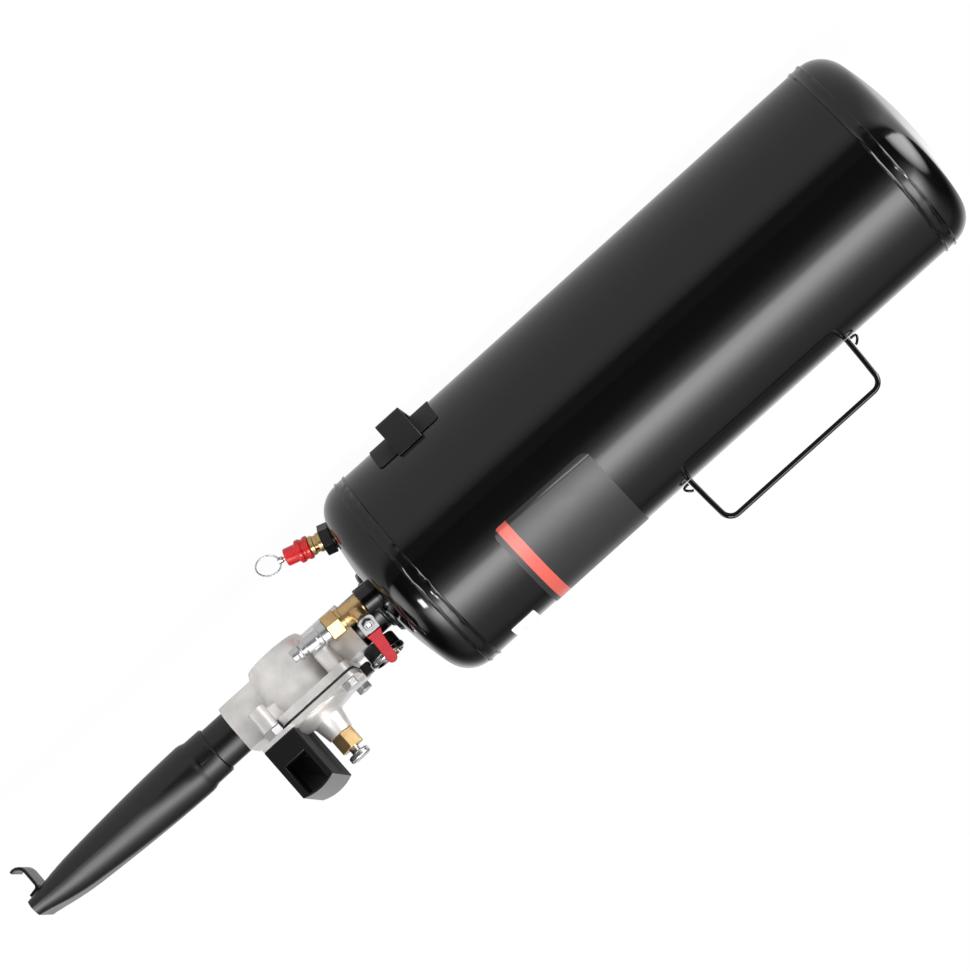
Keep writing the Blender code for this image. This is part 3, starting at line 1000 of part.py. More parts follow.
def nozzle_mesh(name):
    bm = bmesh.new()
    collar_r = NOZZLE_PIPE_R + GAP + 1.5 * MM
    outer = [(NOZZLE_X0, collar_r - 0.3 * MM, collar_r - 0.3 * MM), (COLLAR_END_X, collar_r, collar_r)]
    outer += [(x, h, half_width(h)) for x, h in NOZZLE_SECTIONS]
    inner = [(NOZZLE_X0, NOZZLE_PIPE_R + GAP, NOZZLE_PIPE_R + GAP),
             (COLLAR_END_X, NOZZLE_PIPE_R + GAP, NOZZLE_PIPE_R + GAP)]
    inner += [(x, h - NOZZLE_WALL, half_width(h) - NOZZLE_WALL) for x, h in NOZZLE_SECTIONS]
    rings = []
    for x, h, w in outer + inner[::-1]:
        rings.append([bm.verts.new((x, y, z)) for y, z in stadium(h, w, LOFT_POINTS)])
    for one, two in zip(rings, rings[1:] + rings[:1]):
        for i in range(LOFT_POINTS):
            j = (i + 1) % LOFT_POINTS
            bm.faces.new((one[i], one[j], two[j], two[i]))
    return to_mesh(name, bm)


finish("nozzle", nozzle_mesh("nozzle"), "black_satin")


def strip(path, half):
    """Outline of a bent strip: the path's points moved to each side."""
    left, right = [], []
    for i, (x, z) in enumerate(path):
        a = path[max(i - 1, 0)]
        b = path[min(i + 1, len(path) - 1)]
        run = Vector((b[0] - a[0], b[1] - a[1])).normalized()
        left.append((x - run.y * half, z + run.x * half))
        right.append((x + run.y * half, z - run.x * half))
    return left + right[::-1]


mouth_x, mouth_h = NOZZLE_SECTIONS[-1]
before_x, before_h = NOZZLE_SECTIONS[-3]
slope = (before_h - mouth_h) / (mouth_x - before_x)
hook_top = -mouth_h - GAP - HOOK_T / 2 - 0.15 * MM


def under_nozzle(x):
    return (x, hook_top - slope * (mouth_x - x))


flange_end = HOOK_X + 8.0 * MM
bend = (HOOK_X + 2.5 * MM, under_nozzle(HOOK_X + 2.5 * MM)[1])
hook_path = ([under_nozzle(flange_end), under_nozzle(HOOK_X + 4.4 * MM)]
             + arc(HOOK_X + 3.4 * MM, bend[1] - 3.2 * MM, 3.4 * MM, pi * 0.62, pi, 3)
             + arc(HOOK_X + HOOK_LIP, -HOOK_DROP + HOOK_LIP - 4 * MM, HOOK_LIP, pi, 1.62 * pi, 5))
prism("nozzle_hook", strip(hook_path, HOOK_T / 2), -HOOK_W / 2, HOOK_W / 2, "steel",
      turn=section_turn)
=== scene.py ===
# %% [markdown]
# # A hand-held bead seating air tank
# This lesson gives the pieces their finishes and makes new, finer shapes for
# the ones that a faceted solid can't show well.

# %% Load the frame
import json
from math import asin, cos, pi, radians, sin, sqrt

import bmesh
import bpy
from mathutils import Matrix, Vector
from mathutils import noise as rough_noise


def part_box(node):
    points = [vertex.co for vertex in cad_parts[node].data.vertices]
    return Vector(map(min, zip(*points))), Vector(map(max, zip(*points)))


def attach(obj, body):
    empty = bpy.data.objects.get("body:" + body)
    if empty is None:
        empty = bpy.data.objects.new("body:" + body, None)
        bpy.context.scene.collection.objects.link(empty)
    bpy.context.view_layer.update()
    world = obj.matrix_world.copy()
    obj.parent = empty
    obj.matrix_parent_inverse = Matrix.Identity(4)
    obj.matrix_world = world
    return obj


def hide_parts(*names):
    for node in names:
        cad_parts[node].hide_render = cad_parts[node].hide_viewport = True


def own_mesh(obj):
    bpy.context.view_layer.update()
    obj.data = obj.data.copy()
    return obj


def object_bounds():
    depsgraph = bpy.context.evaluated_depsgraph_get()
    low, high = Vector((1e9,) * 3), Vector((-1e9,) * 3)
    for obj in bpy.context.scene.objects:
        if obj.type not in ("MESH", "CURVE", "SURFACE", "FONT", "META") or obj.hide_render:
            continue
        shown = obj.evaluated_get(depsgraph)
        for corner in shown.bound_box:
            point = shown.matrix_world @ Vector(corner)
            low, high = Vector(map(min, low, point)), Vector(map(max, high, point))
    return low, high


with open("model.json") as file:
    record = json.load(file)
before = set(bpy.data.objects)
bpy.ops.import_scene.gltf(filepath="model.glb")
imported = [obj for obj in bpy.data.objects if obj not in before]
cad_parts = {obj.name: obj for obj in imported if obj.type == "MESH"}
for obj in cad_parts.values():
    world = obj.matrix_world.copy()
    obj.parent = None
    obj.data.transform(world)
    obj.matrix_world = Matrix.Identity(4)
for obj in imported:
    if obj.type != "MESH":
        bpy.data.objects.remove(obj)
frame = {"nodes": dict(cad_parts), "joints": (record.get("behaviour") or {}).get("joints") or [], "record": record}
cad_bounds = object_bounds()
nodes = frame["nodes"]
MM = 0.001

# %% [markdown]
# ## Where the tank's axis lies
# The axis is the middle of the shell, so it is read from the shell's own box.
# Positions below are given in the tank's own frame, in millimetres: X = 0 is
# near the front seam and Z = 0 is on the axis.

# %% Tank's own frame
SHELL_FRONT_END = 45.35   # where the shell's front edge lies in the tank's own frame
shell_low, shell_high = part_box("tank_shell")
AXIS_Z = (shell_low.z + shell_high.z) / 2
ORIGIN_X = shell_high.x - SHELL_FRONT_END * MM


def at(x, y, z):
    """A point given in millimetres in the tank's own frame."""
    return Vector((ORIGIN_X + x * MM, y * MM, AXIS_Z + z * MM))


print("axis height", round(AXIS_Z, 4), "origin x", round(ORIGIN_X, 4))

# %% [markdown]
# ## Camera
# The camera looks at the tank from beside it and a little above it.  A long lens
# keeps its sides nearly parallel, and a roll of the camera makes the tank hang
# across the frame from the upper right to the lower left.  The lens is worked
# out from the width to be seen, so moving the camera back keeps the tank's size.

# %% Camera
CAMERA_PLACE = at(-137.1, -3096.9, 434.0)
CAMERA_TARGET = at(-24.74, 0, -11.08)
CAMERA_ROLL = radians(138.268)
VIEW_WIDTH = 0.64456

camera_data = bpy.data.cameras.new("camera")
camera = bpy.data.objects.new("camera", camera_data)
bpy.context.scene.collection.objects.link(camera)
look_at = CAMERA_TARGET - CAMERA_PLACE
aim = look_at.to_track_quat("-Z", "Y").to_matrix()
camera.matrix_world = (Matrix.Translation(CAMERA_PLACE)
                       @ (aim @ Matrix.Rotation(CAMERA_ROLL, 3, "Z")).to_4x4())
camera_data.lens = camera_data.sensor_width * look_at.length / VIEW_WIDTH
camera_data.clip_end = 50
bpy.context.scene.camera = camera
print("lens", round(camera_data.lens, 1), "mm")

# %% [markdown]
# ## Shader maths
# A shader's maths is a web of small nodes.  Wiring them by hand hides what they
# work out.  A class that wraps one socket and overloads the usual operators lets
# it be written as plain expressions, each of which adds the nodes that it needs.

# %% A socket that does arithmetic
class Socket:
    """Wraps a node's output, so shader maths reads like plain arithmetic."""

    def __init__(self, tree, out):
        self.tree, self.out = tree, out

    def node(self, kind, settings=None, **inputs):
        made = self.tree.nodes.new(kind)
        for name, value in (settings or {}).items():
            if name == "stops":
                while len(made.color_ramp.elements) < len(value):
                    made.color_ramp.elements.new(0.5)
                for stop, (place, colour) in zip(made.color_ramp.elements, value):
                    stop.position, stop.color = place, (*colour, 1.0)
            else:
                setattr(made, name, value)
        for name, value in inputs.items():
            wanted = name.replace("_", " ")
            socket = (made.inputs[int(name[1:])] if name[0] == "i" and name[1:].isdigit()
                      else next(s for s in made.inputs if s.name.lower() == wanted.lower() and s.enabled))
            if isinstance(value, Socket):
                self.tree.links.new(value.out, socket)
            elif socket.type == "RGBA" and len(value) == 3:
                socket.default_value = (*value, 1.0)
            else:
                socket.default_value = value
        return made

    def math(self, operation, *values, clamp=False):
        made = self.node("ShaderNodeMath", {"operation": operation, "use_clamp": clamp},
                         **{"i%d" % i: v for i, v in enumerate(values)})
        return Socket(self.tree, made.outputs[0])

    def __add__(self, other): return self.math("ADD", self, other)
    def __radd__(self, other): return self.math("ADD", other, self)
    def __sub__(self, other): return self.math("SUBTRACT", self, other)
    def __rsub__(self, other): return self.math("SUBTRACT", other, self)
    def __mul__(self, other): return self.math("MULTIPLY", self, other)
    def __rmul__(self, other): return self.math("MULTIPLY", other, self)
    def __gt__(self, other): return self.math("GREATER_THAN", self, other)
    def __lt__(self, other): return self.math("LESS_THAN", self, other)

    def capped(self, soft=0.2):
        """The value kept from 0 to 1, and rounded off where it reaches 1."""
        return self.math("SMOOTH_MIN", self, 1.0, soft, clamp=True)

    def between(self, low, high, soft=0.0):
        """1 where the value lies between low and high, with soft edges."""
        if soft == 0:
            return (self > low) * (self < high)
        rise = ((self - low) * (1 / soft)).capped(0.3)
        fall = ((high - self) * (1 / soft)).capped(0.3)
        return rise * fall


def out(tree, made, name=0):
    return Socket(tree, made.outputs[name])


print("a socket can now be added, subtracted, multiplied, compared and capped")

# %% [markdown]
# ## Light
# Black gloss shows almost nothing but what it reflects.  Lamps alone would give
# hard-edged patches, so most of the light is painted into the world instead: a
# broad strip over the tank on the camera's side fades into a dim room, and the
# backdrop behind is white.  A small lamp at the front adds a spark to the metal.

# %% World
scene = bpy.context.scene
scene.view_settings.view_transform = "Standard"

world = bpy.data.worlds.new("studio")
scene.world = world
world.use_nodes = True
world_tree = world.node_tree
world_tree.nodes.clear()
start = Socket(world_tree, None)
direction = start.node("ShaderNodeTexCoord")
split = start.node("ShaderNodeSeparateXYZ", Vector=out(world_tree, direction, "Generated"))
toward_x, toward_y, toward_z = (out(world_tree, split, name) for name in "XYZ")
rays = start.node("ShaderNodeLightPath")
PEAK = 8.0                # the ramp holds shares of this strength
# Each pair is an elevation in degrees, from the camera's side, and the level there.
ROOM = ((0, 0.04), (20, 0.05), (24.6, 0.10), (31, 0.35), (37, 0.8), (44, 2.4), (50, 7.0), (57, 7.6),
        (63, 6.2), (70, 3.8), (77, 2.1), (84, 1.25), (92, 0.7), (100, 0.5), (109, 0.38), (120, 0.27),
        (132, 0.10), (148, 0.2), (168, 0.94), (180, 1.0))
rise = start.math("ARCTAN2", toward_z, 0.0 - toward_y) * (1 / pi)
room = start.node("ShaderNodeValToRGB", {"stops": [(e / 180, (v / PEAK,) * 3) for e, v in ROOM]}, Fac=rise)
SIDE_FADE = 0.95          # how much of the strip is lost towards its two ends
STRIP_END, STRIP_SOFT = 0.72, 0.45      # where along the tank the strip ends, and how softly
ends = start.math("ABSOLUTE", toward_x).between(-1.0, STRIP_END, STRIP_SOFT)
level = out(world_tree, room, 0) * PEAK * (1.0 - SIDE_FADE + SIDE_FADE * ends)
# A panel of light stands past each end: its direction, where it starts and how steeply.
REAR_X, REAR_Y, REAR_START, REAR_RISE, REAR_LEVEL = -0.94, -0.34, 0.80, 6.0, 9.5
FRONT_START, FRONT_RISE, FRONT_LEVEL = 0.86, 8.0, 3.0
rear_panel = ((toward_x * REAR_X + toward_y * REAR_Y - REAR_START) * REAR_RISE).capped()
front_panel = ((toward_x - FRONT_START) * FRONT_RISE).capped()
level = level + rear_panel * REAR_LEVEL + front_panel * FRONT_LEVEL
camera_ray = out(world_tree, rays, "Is Camera Ray")
strength = level * (1.0 - camera_ray) + camera_ray
background = start.node("ShaderNodeBackground", Color=(1.0, 1.0, 1.0), Strength=strength)
world_out = start.node("ShaderNodeOutputWorld")
world_tree.links.new(background.outputs[0], world_out.inputs[0])
print("levels in the room:", len(ROOM), "brightest", max(v for _, v in ROOM))

# %% [markdown]
# One area lamp stands past the front end.  The metal there is rough enough to show
# it as a soft spark, which the broad light of the world can't give.

# %% Lamp
def soft_box(name, place, target, width, length, watts, along=(1, 0, 0)):
    """An area lamp whose long side runs along a given direction."""
    lamp = bpy.data.lights.new(name, "AREA")
    lamp.shape = "RECTANGLE"
    lamp.size, lamp.size_y = length, width
    lamp.energy = watts
    box = bpy.data.objects.new(name, lamp)
    scene.collection.objects.link(box)
    down = (Vector(place) - Vector(target)).normalized()
    side = (Vector(along) - down * Vector(along).dot(down)).normalized()
    box.matrix_world = Matrix.Translation(place) @ Matrix(
        (side, down.cross(side), down)).transposed().to_4x4()


def around(elevation, distance, x):
    """A point beside the tank, seen from its axis at this elevation, from the camera's side."""
    return at(x, -distance * cos(radians(elevation)), distance * sin(radians(elevation)))


middle = at(-100, 0, 0)
SPARK_ELEVATION, SPARK_DISTANCE, SPARK_X, SPARK_WATTS = 38, 1900, 900, 14
soft_box("front_spark", around(SPARK_ELEVATION, SPARK_DISTANCE, SPARK_X), middle,
         width=0.35, length=0.5, watts=SPARK_WATTS)

# %% [markdown]
# ## Floor
# A plain pale floor lies under the foot.  Camera rays see it almost as white as the
# backdrop, and it still takes a faint shadow.  Rays mirrored in the paint see a pale
# sheet that ends on the camera's side, and a brighter patch past the rear end, so
# that the black gloss has an edge to show.

# %% Floor
FLOOR_HALF, FLOOR_GAP, FLOOR_GREY = 12.0, 0.0005, (0.85, 0.85, 0.85)
floor_bm = bmesh.new()
bmesh.ops.create_grid(floor_bm, x_segments=1, y_segments=1, size=FLOOR_HALF)
floor_mesh = bpy.data.meshes.new("floor")
floor_bm.to_mesh(floor_mesh)
floor_bm.free()
floor = bpy.data.objects.new("floor", floor_mesh)
scene.collection.objects.link(floor)
floor.location.z = cad_bounds[0][2] - FLOOR_GAP
print("floor height", round(floor.location.z, 4))

# %% [markdown]
# The floor mixes a plain diffuse grey, which takes the shadow, with a glow that only
# camera rays and mirrored rays see.  A glow for every ray would light the tank from
# below.

# %% Floor's finish
floor_look = bpy.data.materials.new("pale_floor")
floor_look.use_nodes = True
floor_tree = floor_look.node_tree
floor_tree.nodes.clear()
start = Socket(floor_tree, None)
rays = start.node("ShaderNodeLightPath")
place = out(floor_tree, start.node("ShaderNodeTexCoord"), "Object")
place = start.node("ShaderNodeSeparateXYZ", Vector=place)
sideways, lengthways = out(floor_tree, place, "Y"), out(floor_tree, place, "X")
PAPER_EDGE, PAPER_RISE = -0.40, 5.0     # the sheet ends this far out on the camera's side
LIT_GAP, LIT_RISE = 0.04, 4.0           # the patch starts this far past the rear end
DIM, PAPER, LIT = 0.04, 0.66, 1.2       # levels off the sheet, on it, and added by the patch
CAMERA_SHARE, MIRROR_SHARE = 0.975, 0.96        # how much of each ray sees the glow alone
paper = ((sideways - PAPER_EDGE) * PAPER_RISE).capped()
lit_end = ((cad_bounds[0][0] - LIT_GAP - lengthways) * LIT_RISE).capped()
camera_ray = out(floor_tree, rays, "Is Camera Ray")
mirrored = start.math("MAXIMUM", out(floor_tree, rays, "Is Glossy Ray"),
                      out(floor_tree, rays, "Is Transmission Ray"))
plain = start.node("ShaderNodeBsdfDiffuse", Color=FLOOR_GREY)
glow = camera_ray + (1.0 - camera_ray) * (DIM + PAPER * paper + LIT * paper * lit_end)
bright = start.node("ShaderNodeEmission", Color=(1.0, 1.0, 1.0), Strength=glow)
mixed = start.node("ShaderNodeMixShader",
                   i0=start.math("MAXIMUM", camera_ray * CAMERA_SHARE, mirrored * MIRROR_SHARE))
floor_tree.links.new(plain.outputs[0], mixed.inputs[1])
floor_tree.links.new(bright.outputs[0], mixed.inputs[2])
floor_out = start.node("ShaderNodeOutputMaterial")
floor_tree.links.new(mixed.outputs[0], floor_out.inputs[0])
floor_mesh.materials.append(floor_look)
print("floor's nodes:", len(floor_tree.nodes))

# %% [markdown]
# ## Finishes
# Each finish starts from one Principled shader.  Small noise on the roughness
# and in a bump keeps a surface from looking like plain plastic.

# %% A finish from one Principled shader
finishes = {}


def finish(name, colour, rough, metal=0.0, coat=0.0, coat_rough=0.05, ior=1.5):
    """Starts a material and gives its tree a Socket to write shader maths with."""
    made = bpy.data.materials.new(name)
    made.use_nodes = True
    tree = made.node_tree
    shader = tree.nodes["Principled BSDF"]
    shader.inputs["Base Color"].default_value = (*colour, 1.0)
    shader.inputs["Roughness"].default_value = rough
    shader.inputs["Metallic"].default_value = metal
    shader.inputs["Coat Weight"].default_value = coat
    shader.inputs["Coat Roughness"].default_value = coat_rough
    shader.inputs["IOR"].default_value = ior
    made.diffuse_color = (*colour, 1.0)
    finishes[name] = made
    start = Socket(tree, None)
    place = out(tree, start.node("ShaderNodeTexCoord"), "Object")
    return start, place, shader


def link(shader, name, value):
    value.tree.links.new(value.out, shader.inputs[name])


def noise(start, place, scale, detail=3.0, rough=0.5, stretch=(1, 1, 1)):
    moved = start.node("ShaderNodeMapping", Vector=place, Scale=stretch)
    made = start.node("ShaderNodeTexNoise", Vector=out(start.tree, moved), Scale=scale,
                      Detail=detail, Roughness=rough)
    return out(start.tree, made, 0)


def bump(start, shader, height, strength, distance):
    made = start.node("ShaderNodeBump", Height=height, Strength=strength, Distance=distance)
    link(shader, "Normal", out(start.tree, made))


def tint(start, shader, factor, dark, light):
    mixed = start.node("ShaderNodeMix", {"data_type": "RGBA"}, i0=factor, i6=dark, i7=light)
    link(shader, "Base Color", Socket(start.tree, mixed.outputs[2]))


def along_tank(start, place):
    """How far along the tank a point lies."""
    return Socket(start.tree, start.node("ShaderNodeSeparateXYZ", Vector=place).outputs[0])


print("helpers for finishes: link, noise, bump, tint and along_tank")

# %% [markdown]
# ## Paints and rubber
# The tank is sprayed in black gloss, whose faint orange peel bends what it mirrors.
# The nozzle is satin, and the guard and the gauge are nearly matt.  Noise in a bump
# gives each its own grain without an image.  The guard's rear face is rougher, so
# that it stays dark where it faces the bright room.

# %% Paints and rubber
for name, colour, rough, peel in (("tank_gloss_black", (0.0017, 0.0017, 0.0018), 0.10, 0.10),
                                  ("wire_gloss_black", (0.002, 0.002, 0.0021), 0.16, 0.0),
                                  ("nozzle_satin_black", (0.0024, 0.0024, 0.0026), 0.31, 0.08)):
    start, place, shader = finish(name, colour, rough)
    orange_peel = noise(start, place, 420.0, 2.0)
    ripple = noise(start, place, 34.0, 2.0)
    link(shader, "Roughness", rough + (noise(start, place, 55.0, 4.0) - 0.5) * 0.10)
    bump(start, shader, orange_peel * 0.3 + ripple, peel, 0.0004)

GUARD_ROUGH, REAR_ROUGHER = 0.29, 0.65
start, place, shader = finish("guard_matt_black", (0.004, 0.004, 0.0042), GUARD_ROUGH)
REAR_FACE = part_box("guard")[0].x + 0.7 * MM
rear_face = along_tank(start, place) < REAR_FACE
link(shader, "Roughness", GUARD_ROUGH + REAR_ROUGHER * rear_face)
bump(start, shader, noise(start, place, 1500.0, 2.0), 0.12, 0.0002)
start, place, shader = finish("gauge_black", (0.006, 0.006, 0.006), 0.34)
bump(start, shader, noise(start, place, 900.0, 2.0), 0.12, 0.0002)
start, place, shader = finish("rubber_black", (0.006, 0.006, 0.006), 0.72)
bump(start, shader, noise(start, place, 700.0, 3.0), 0.3, 0.0003)
print("paints and rubber:", ", ".join(finishes))

# %% [markdown]
# ## Metals
# The valve is a tumbled die casting: pale, slightly mottled, with soft grain.
# Turned brass and plated steel carry fine marks.  An image texture could show
# all this, but noise stays sharp at any size and needs no file.

# %% Metals
start, place, shader = finish("cast_alloy", (0.66, 0.645, 0.63), 0.30, 0.6)
mottle = noise(start, place, 48.0, 5.0, 0.55)
grain = noise(start, place, 900.0, 3.0)
tint(start, shader, mottle, (0.40, 0.385, 0.375), (0.98, 0.955, 0.93))
link(shader, "Roughness", 0.22 + mottle * 0.18 + grain * 0.06)
bump(start, shader, mottle * 0.5 + grain * 0.35, 0.30, 0.0004)

start, place, shader = finish("turned_brass", (0.62, 0.42, 0.19), 0.30, 0.9)
worn = noise(start, place, 120.0, 4.0)
tint(start, shader, worn, (0.46, 0.29, 0.11), (0.74, 0.53, 0.27))
link(shader, "Roughness", 0.22 + worn * 0.18)
bump(start, shader, noise(start, place, 260.0, 3.0, 0.5, (6, 1, 1)), 0.12, 0.0002)

for name, colour, rough in (("zinc_steel", (0.62, 0.62, 0.63), 0.33),
                            ("bright_chrome", (0.82, 0.82, 0.83), 0.10),
                            ("worn_zinc", (0.19, 0.19, 0.195), 0.42),
                            ("hook_steel", (0.52, 0.53, 0.54), 0.30)):
    start, place, shader = finish(name, colour, rough, 1.0)
    marks = noise(start, place, 300.0, 3.0)
    link(shader, "Roughness", rough + (marks - 0.5) * 0.12)
    bump(start, shader, marks, 0.015, 0.0002)

start, place, shader = finish("white_seat", (0.85, 0.85, 0.83), 0.4)
bump(start, shader, noise(start, place, 500.0), 0.08, 0.0002)
print("with the metals:", len(finishes), "finishes")

# %% [markdown]
# ## Plastics, label and glass
# The lever's grip is dipped in soft vinyl, which barely shines, and the relief
# valve's cap is harder and glossier.  The label is a dark film with one band of
# colour.  The band is set by where a point lies along the tank, so it stays put
# without an image.  The gauge's lens is see-through in its Alpha as well, so that
# the dial shows behind it.

# %% Plastics, label and sticker
start, place, shader = finish("red_vinyl", (0.33, 0.004, 0.012), 0.45)
shader.inputs["Specular IOR Level"].default_value = 0.22
soft = noise(start, place, 160.0, 3.0)
tint(start, shader, soft, (0.25, 0.003, 0.009), (0.40, 0.006, 0.016))
bump(start, shader, soft, 0.12, 0.0004)
start, place, shader = finish("red_cap", (0.62, 0.009, 0.011), 0.30, coat=0.2, coat_rough=0.2)
rib = noise(start, place, 200.0, 3.0)
tint(start, shader, rib, (0.56, 0.006, 0.008), (0.70, 0.011, 0.013))
bump(start, shader, rib, 0.02, 0.0002)

BAND_FRONT, BAND_BACK = at(-13.2, 0, 0).x, at(-21.8, 0, 0).x
start, place, shader = finish("dark_label", (0.02, 0.02, 0.021), 0.30)
band = along_tank(start, place).between(BAND_BACK, BAND_FRONT)
tint(start, shader, band, (0.018, 0.018, 0.019), (0.50, 0.085, 0.065))
link(shader, "Roughness", 0.26 + noise(start, place, 90.0) * 0.12)
start, place, shader = finish("white_sticker", (0.70, 0.70, 0.69), 0.35)
link(shader, "Roughness", 0.30 + noise(start, place, 90.0) * 0.12)

start, place, shader = finish("gauge_glass", (0.95, 0.96, 0.96), 0.04, ior=1.45)
shader.inputs["Transmission Weight"].default_value = 1.0
shader.inputs["Alpha"].default_value = 0.35
print("finishes:", len(finishes))

# %% [markdown]
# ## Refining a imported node
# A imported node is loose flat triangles.  A copy of it, with its doubles merged
# and its flat faces joined again, can be shaded smooth where it is round and
# given a small bevel where it is sharp, so that its edges catch the light.

# %% Refine
NODE_BODY = {n: body for body, members in frame["record"]["behaviour"]["bodies"].items() for n in members}


def settle(piece, node, look):
    """Gives a finished piece its finish and its body, and hides the node it stands for."""
    piece.data.materials.clear()
    piece.data.materials.append(finishes[look])
    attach(piece, NODE_BODY[node])
    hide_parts(node)
    return piece


def to_piece(name, bm, angle=35):
    """A finished bmesh becomes an object, smooth up to this angle."""
    mesh = bpy.data.meshes.new(name)
    bm.to_mesh(mesh)
    bm.free()
    mesh.shade_smooth()
    mesh.set_sharp_from_angle(angle=radians(angle))
    piece = bpy.data.objects.new(name, mesh)
    scene.collection.objects.link(piece)
    return piece


SAME_POINT, SAME_PLANE = 4e-6, 0.6      # metres, and degrees


def refine(node, look, bevel, angle=32):
    """A merged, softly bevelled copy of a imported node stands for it."""
    bm = bmesh.new()
    bm.from_mesh(nodes[node].data)
    bmesh.ops.remove_doubles(bm, verts=bm.verts, dist=SAME_POINT)
    bmesh.ops.dissolve_limit(bm, angle_limit=radians(SAME_PLANE), verts=bm.verts, edges=bm.edges)
    piece = to_piece(node + "_fine", bm, angle)
    if bevel:
        soft = piece.modifiers.new("edges", "BEVEL")
        soft.width = bevel * MM
        soft.segments = 2
        soft.limit_method = "ANGLE"
        soft.angle_limit = radians(angle)
        soft.harden_normals = False
        soft.use_clamp_overlap = True
    return settle(piece, node, look)


print("bodies that pieces ride on:", sorted(set(NODE_BODY.values())))

# %% [markdown]
# Each node has a finish and the width of its bevel in millimetres.  A casting's
# edges are rounder than a turned fitting's, and a bevel of 0 leaves them sharp.

# %% Finish and bevel of each node
LOOK_OF = {
    "outlet_bung": ("tank_gloss_black", 0.8), "inlet_pipe": ("tank_gloss_black", 0),
    "fill_boss": ("tank_gloss_black", 0.8),
    "foot": ("nozzle_satin_black", 0.5), "relief_boss": ("nozzle_satin_black", 0.7),
    "valve_body": ("cast_alloy", 0.5), "bonnet": ("cast_alloy", 0.5), "diaphragm": ("rubber_black", 0.2),
    "bonnet_bolt_near": ("zinc_steel", 0.4), "bonnet_bolt_far": ("zinc_steel", 0.4),
    "front_stud_near": ("zinc_steel", 0.4), "front_stud_far": ("zinc_steel", 0.4),
    "guard": ("guard_matt_black", 1.0), "pilot_body": ("turned_brass", 0.5),
    "pilot_button": ("zinc_steel", 0.3),
    "gauge_case": ("gauge_black", 0.4), "gauge_stem": ("gauge_black", 0.5),
    "gauge_bezel": ("bright_chrome", 0.4),
    "gauge_dial": ("white_sticker", 0), "gauge_pointer": ("gauge_black", 0),
    "gauge_lens": ("gauge_glass", 0.2),
    "ball_valve_body": ("turned_brass", 0.3), "ball_valve_end": ("turned_brass", 0.5),
    "lever_plate": ("worn_zinc", 0.3), "lever_grip": ("red_vinyl", 0.9), "lever_nut": ("worn_zinc", 0.4),
    "quick_connect_plug": ("zinc_steel", 0.3), "relief_body": ("turned_brass", 0.3),
    "relief_cap": ("red_cap", 0.4),
    "relief_stem": ("zinc_steel", 0.2), "nozzle_pipe": ("nozzle_satin_black", 0),
    "nozzle_hook": ("nozzle_satin_black", 0.5),
}
for node, (look, bevel) in LOOK_OF.items():
    refine(node, look, bevel)
print("refined", len(LOOK_OF), "nodes")

# %% [markdown]
# The springs, seats and other inner pieces are nearly hidden, so they get no bevel.
# The pilot spring is given a mesh of its own.

# %% Inner pieces
INNER_LOOK = {"diaphragm_disc": "zinc_steel", "main_spring": "zinc_steel", "pilot_spring": "zinc_steel",
              "relief_spring": "zinc_steel", "valve_stem": "zinc_steel", "valve_ball": "bright_chrome",
              "seat_rear": "white_seat", "seat_front": "white_seat", "foot_pad": "rubber_black"}
for node, look in INNER_LOOK.items():
    piece = refine(node, look, 0)
    if node == "pilot_spring":
        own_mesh(piece)
print("refined", len(INNER_LOOK), "inner pieces")

# %% [markdown]
# ## Tank
# The shell is rolled sheet and the heads are pressed dishes, welded at two
# seams.  An outline of one side is spun round the axis, so that the long
# reflections stay clean from end to end.

# %% Spinning an outline round the tank's axis
def spun(name, outline, axis_at, axis, steps, angle=35):
    """Spins a closed outline of (radius, distance along the axis) points, in millimetres."""
    axis = Vector(axis).normalized()
    side = axis.orthogonal().normalized()
    bm = bmesh.new()
    points = [bm.verts.new(axis_at + (axis * h + side * r) * MM) for r, h in outline]
    edges = [bm.edges.new(pair) for pair in zip(points, points[1:] + points[:1])]
    bmesh.ops.spin(bm, geom=points + edges, cent=axis_at, axis=axis, angle=2 * pi, steps=steps,
                   use_merge=True)
    bmesh.ops.remove_doubles(bm, verts=bm.verts, dist=2e-6)
    bmesh.ops.recalc_face_normals(bm, faces=bm.faces)
    return to_piece(name, bm, angle)


def curve_of(cx, cy, r, a0, a1, steps):
    """Points along an arc, from one angle to another."""
    return [(cx + r * cos(a0 + (a1 - a0) * i / steps), cy + r * sin(a0 + (a1 - a0) * i / steps))
            for i in range(steps + 1)]


# %% [markdown]
# A head is a shallow crown that meets the shell through a tight knuckle, so its
# outline is two arcs.  The arcs touch without a corner, because the knuckle's angle is
# worked out from the two radii.  The outline runs back along the inside, which gives
# the sheet its thickness.

# %% Shell and heads
TANK_R, WALL, KNUCKLE, CROWN = 77.5, 2.5, 22.0, 240.0
SEAM_FRONT, SEAM_REAR = 45.5, -359.5
FRONT_TANGENT, REAR_TANGENT = 49.5, -363.5      # where each head starts to curve in
SKIRT, SHELL_GAP, SHELL_MIDDLE = -3.9, 0.2, -200
BUNG_HOLE_R, HOLE_DROP = 21.0, 0.9      # the front head's hole, and the crown's drop there
ROUND = 144               # steps round the tank
HEAD_DEPTH = CROWN - sqrt((CROWN - KNUCKLE) ** 2 - (TANK_R - KNUCKLE) ** 2)
SPREAD = asin((TANK_R - KNUCKLE) / (CROWN - KNUCKLE))
X_AXIS = Vector((1, 0, 0))


def dish(inset):
    """A head's face from its skirt to its tip, inset inside the outer face."""
    return ([(TANK_R - inset, SKIRT)]
            + curve_of(TANK_R - KNUCKLE, 0, KNUCKLE - inset, 0, pi / 2 - SPREAD, 12)
            + curve_of(0, HEAD_DEPTH - CROWN, CROWN - inset, pi / 2 - SPREAD, pi / 2, 10)[1:-1]
            + [(0.0, HEAD_DEPTH - inset)])


